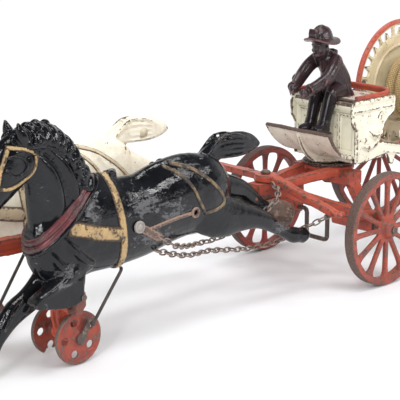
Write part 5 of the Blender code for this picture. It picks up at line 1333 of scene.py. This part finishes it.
# Floor, light and camera
studio = {"floor": (0.82, 0.826, 0.845), "floorSize": 8, "sunk": 0.0004, "room": 0.08, "soft": 0.88}
black, white = (0.0, 0.0, 0.0), (1.0, 1.0, 1.0)
floor = shown("studioFloor", bpy.data.meshes.new("studioFloor"))
sheet = bmesh.new()
bmesh.ops.create_grid(sheet, x_segments=1, y_segments=1, size=studio["floorSize"])
bmesh.ops.translate(sheet, verts=sheet.verts, vec=(0, 0, -studio["sunk"]))
sheet.to_mesh(floor.data)
sheet.free()
paint = Paint("studioFloorPaint", Specular_IOR_Level=0.2, Emission_Strength=1.0)
away = paint.node("ShaderNodeVectorMath", {"operation": "LENGTH"}, {0: paint.place}, "Value")
seen = paint.ray("Is Camera Ray").most(paint.ray("Is Glossy Ray")).most(paint.ray("Is Transmission Ray"))
fade = paint.ease(away, 0.32, 0.95) * seen
floor.data.materials.append(paint.done(paint.mix(fade, studio["floor"], black), 0.9,
                                       Emission_Color=paint.mix(fade, black, white)))

world = bpy.data.worlds.new("studioWorld")
bpy.context.scene.world = world
world.use_nodes = True


class Room(Paint):
    # The surroundings: a white backdrop behind the toy and a dim room behind the camera.
    def __init__(self, tree):
        self.tree = tree
        self.tree.nodes.clear()
        self.place = self.node("ShaderNodeTexCoord", {}, {}, "Generated")

    def shade(self, share, dim):
        dark, bright = (self.node("ShaderNodeBackground", {}, {"Color": white, "Strength": level})
                        for level in (dim, 1.0))
        both = self.node("ShaderNodeMixShader", {}, {0: share, 1: dark, 2: bright})
        self.node("ShaderNodeOutputWorld", {}, {"Surface": both}, None)


room = Room(world.node_tree)
across, along, rise = (room.part(room.place, axis) for axis in "XYZ")
behind = room.ease(across * 0.68 + along * 0.73, -0.15, 0.5) * (1 - room.ease(rise, 0.3, 0.75))
bounced = room.ray("Is Diffuse Ray")
share = room.ray("Is Camera Ray").most(bounced * studio["soft"] + (1 - bounced) * behind)
room.shade(share, studio["room"])

# Each lamp has its place, what it aims at, its size in metres and its power in watts.
lamps = {"topBox": ((-0.25, -0.35, 1.15), (-0.05, 0, 0.06), (0.6, 0.25), 4.4),
         "backStrip": ((0.35, 0.25, 1.0), (0, 0, 0.06), (0.5, 0.16), 2.2),
         "frontStrip": ((-1.25, -0.75, 0.75), (-0.15, 0, 0.06), (0.1, 0.9), 8.0),
         "nearStrip": ((0.45, -1.35, 0.75), (0.1, 0, 0.06), (0.9, 0.13), 8.5)}
for name, (place, aim, size, power) in lamps.items():
    lamp = bpy.data.lights.new(name, "AREA")
    lamp.shape = "RECTANGLE"
    lamp.size, lamp.size_y = size
    lamp.energy = power
    holder = shown(name, lamp)
    holder.location = place
    holder.rotation_euler = (Vector(aim) - Vector(place)).to_track_quat("-Z", "Y").to_euler()

view = {"picture": 400, "sensor": 36, "focal": 1300.16, "middle": (198.236, 199.353), "roll": -0.2403,
        "place": (-0.61207, -0.60755, 0.28806), "azimuth": -42.8315, "elevation": 14.6129}
lens = bpy.data.cameras.new("photoCamera")
lens.sensor_width = view["sensor"]
lens.lens = view["focal"] / view["picture"] * view["sensor"]
lens.shift_x = (view["picture"] / 2 - view["middle"][0]) / view["picture"]
lens.shift_y = (view["middle"][1] - view["picture"] / 2) / view["picture"]
lens.clip_start = 0.01
camera = shown("photoCamera", lens)
turns = ((view["azimuth"], "Z"), (90 - view["elevation"], "X"), (view["roll"], "Z"))
first, second, third = (Matrix.Rotation(radians(angle), 4, axis) for angle, axis in turns)
camera.matrix_world = Matrix.Translation(view["place"]) @ (first @ second @ third)
bpy.context.scene.camera = camera
bpy.context.scene.view_settings.view_transform = "Standard"
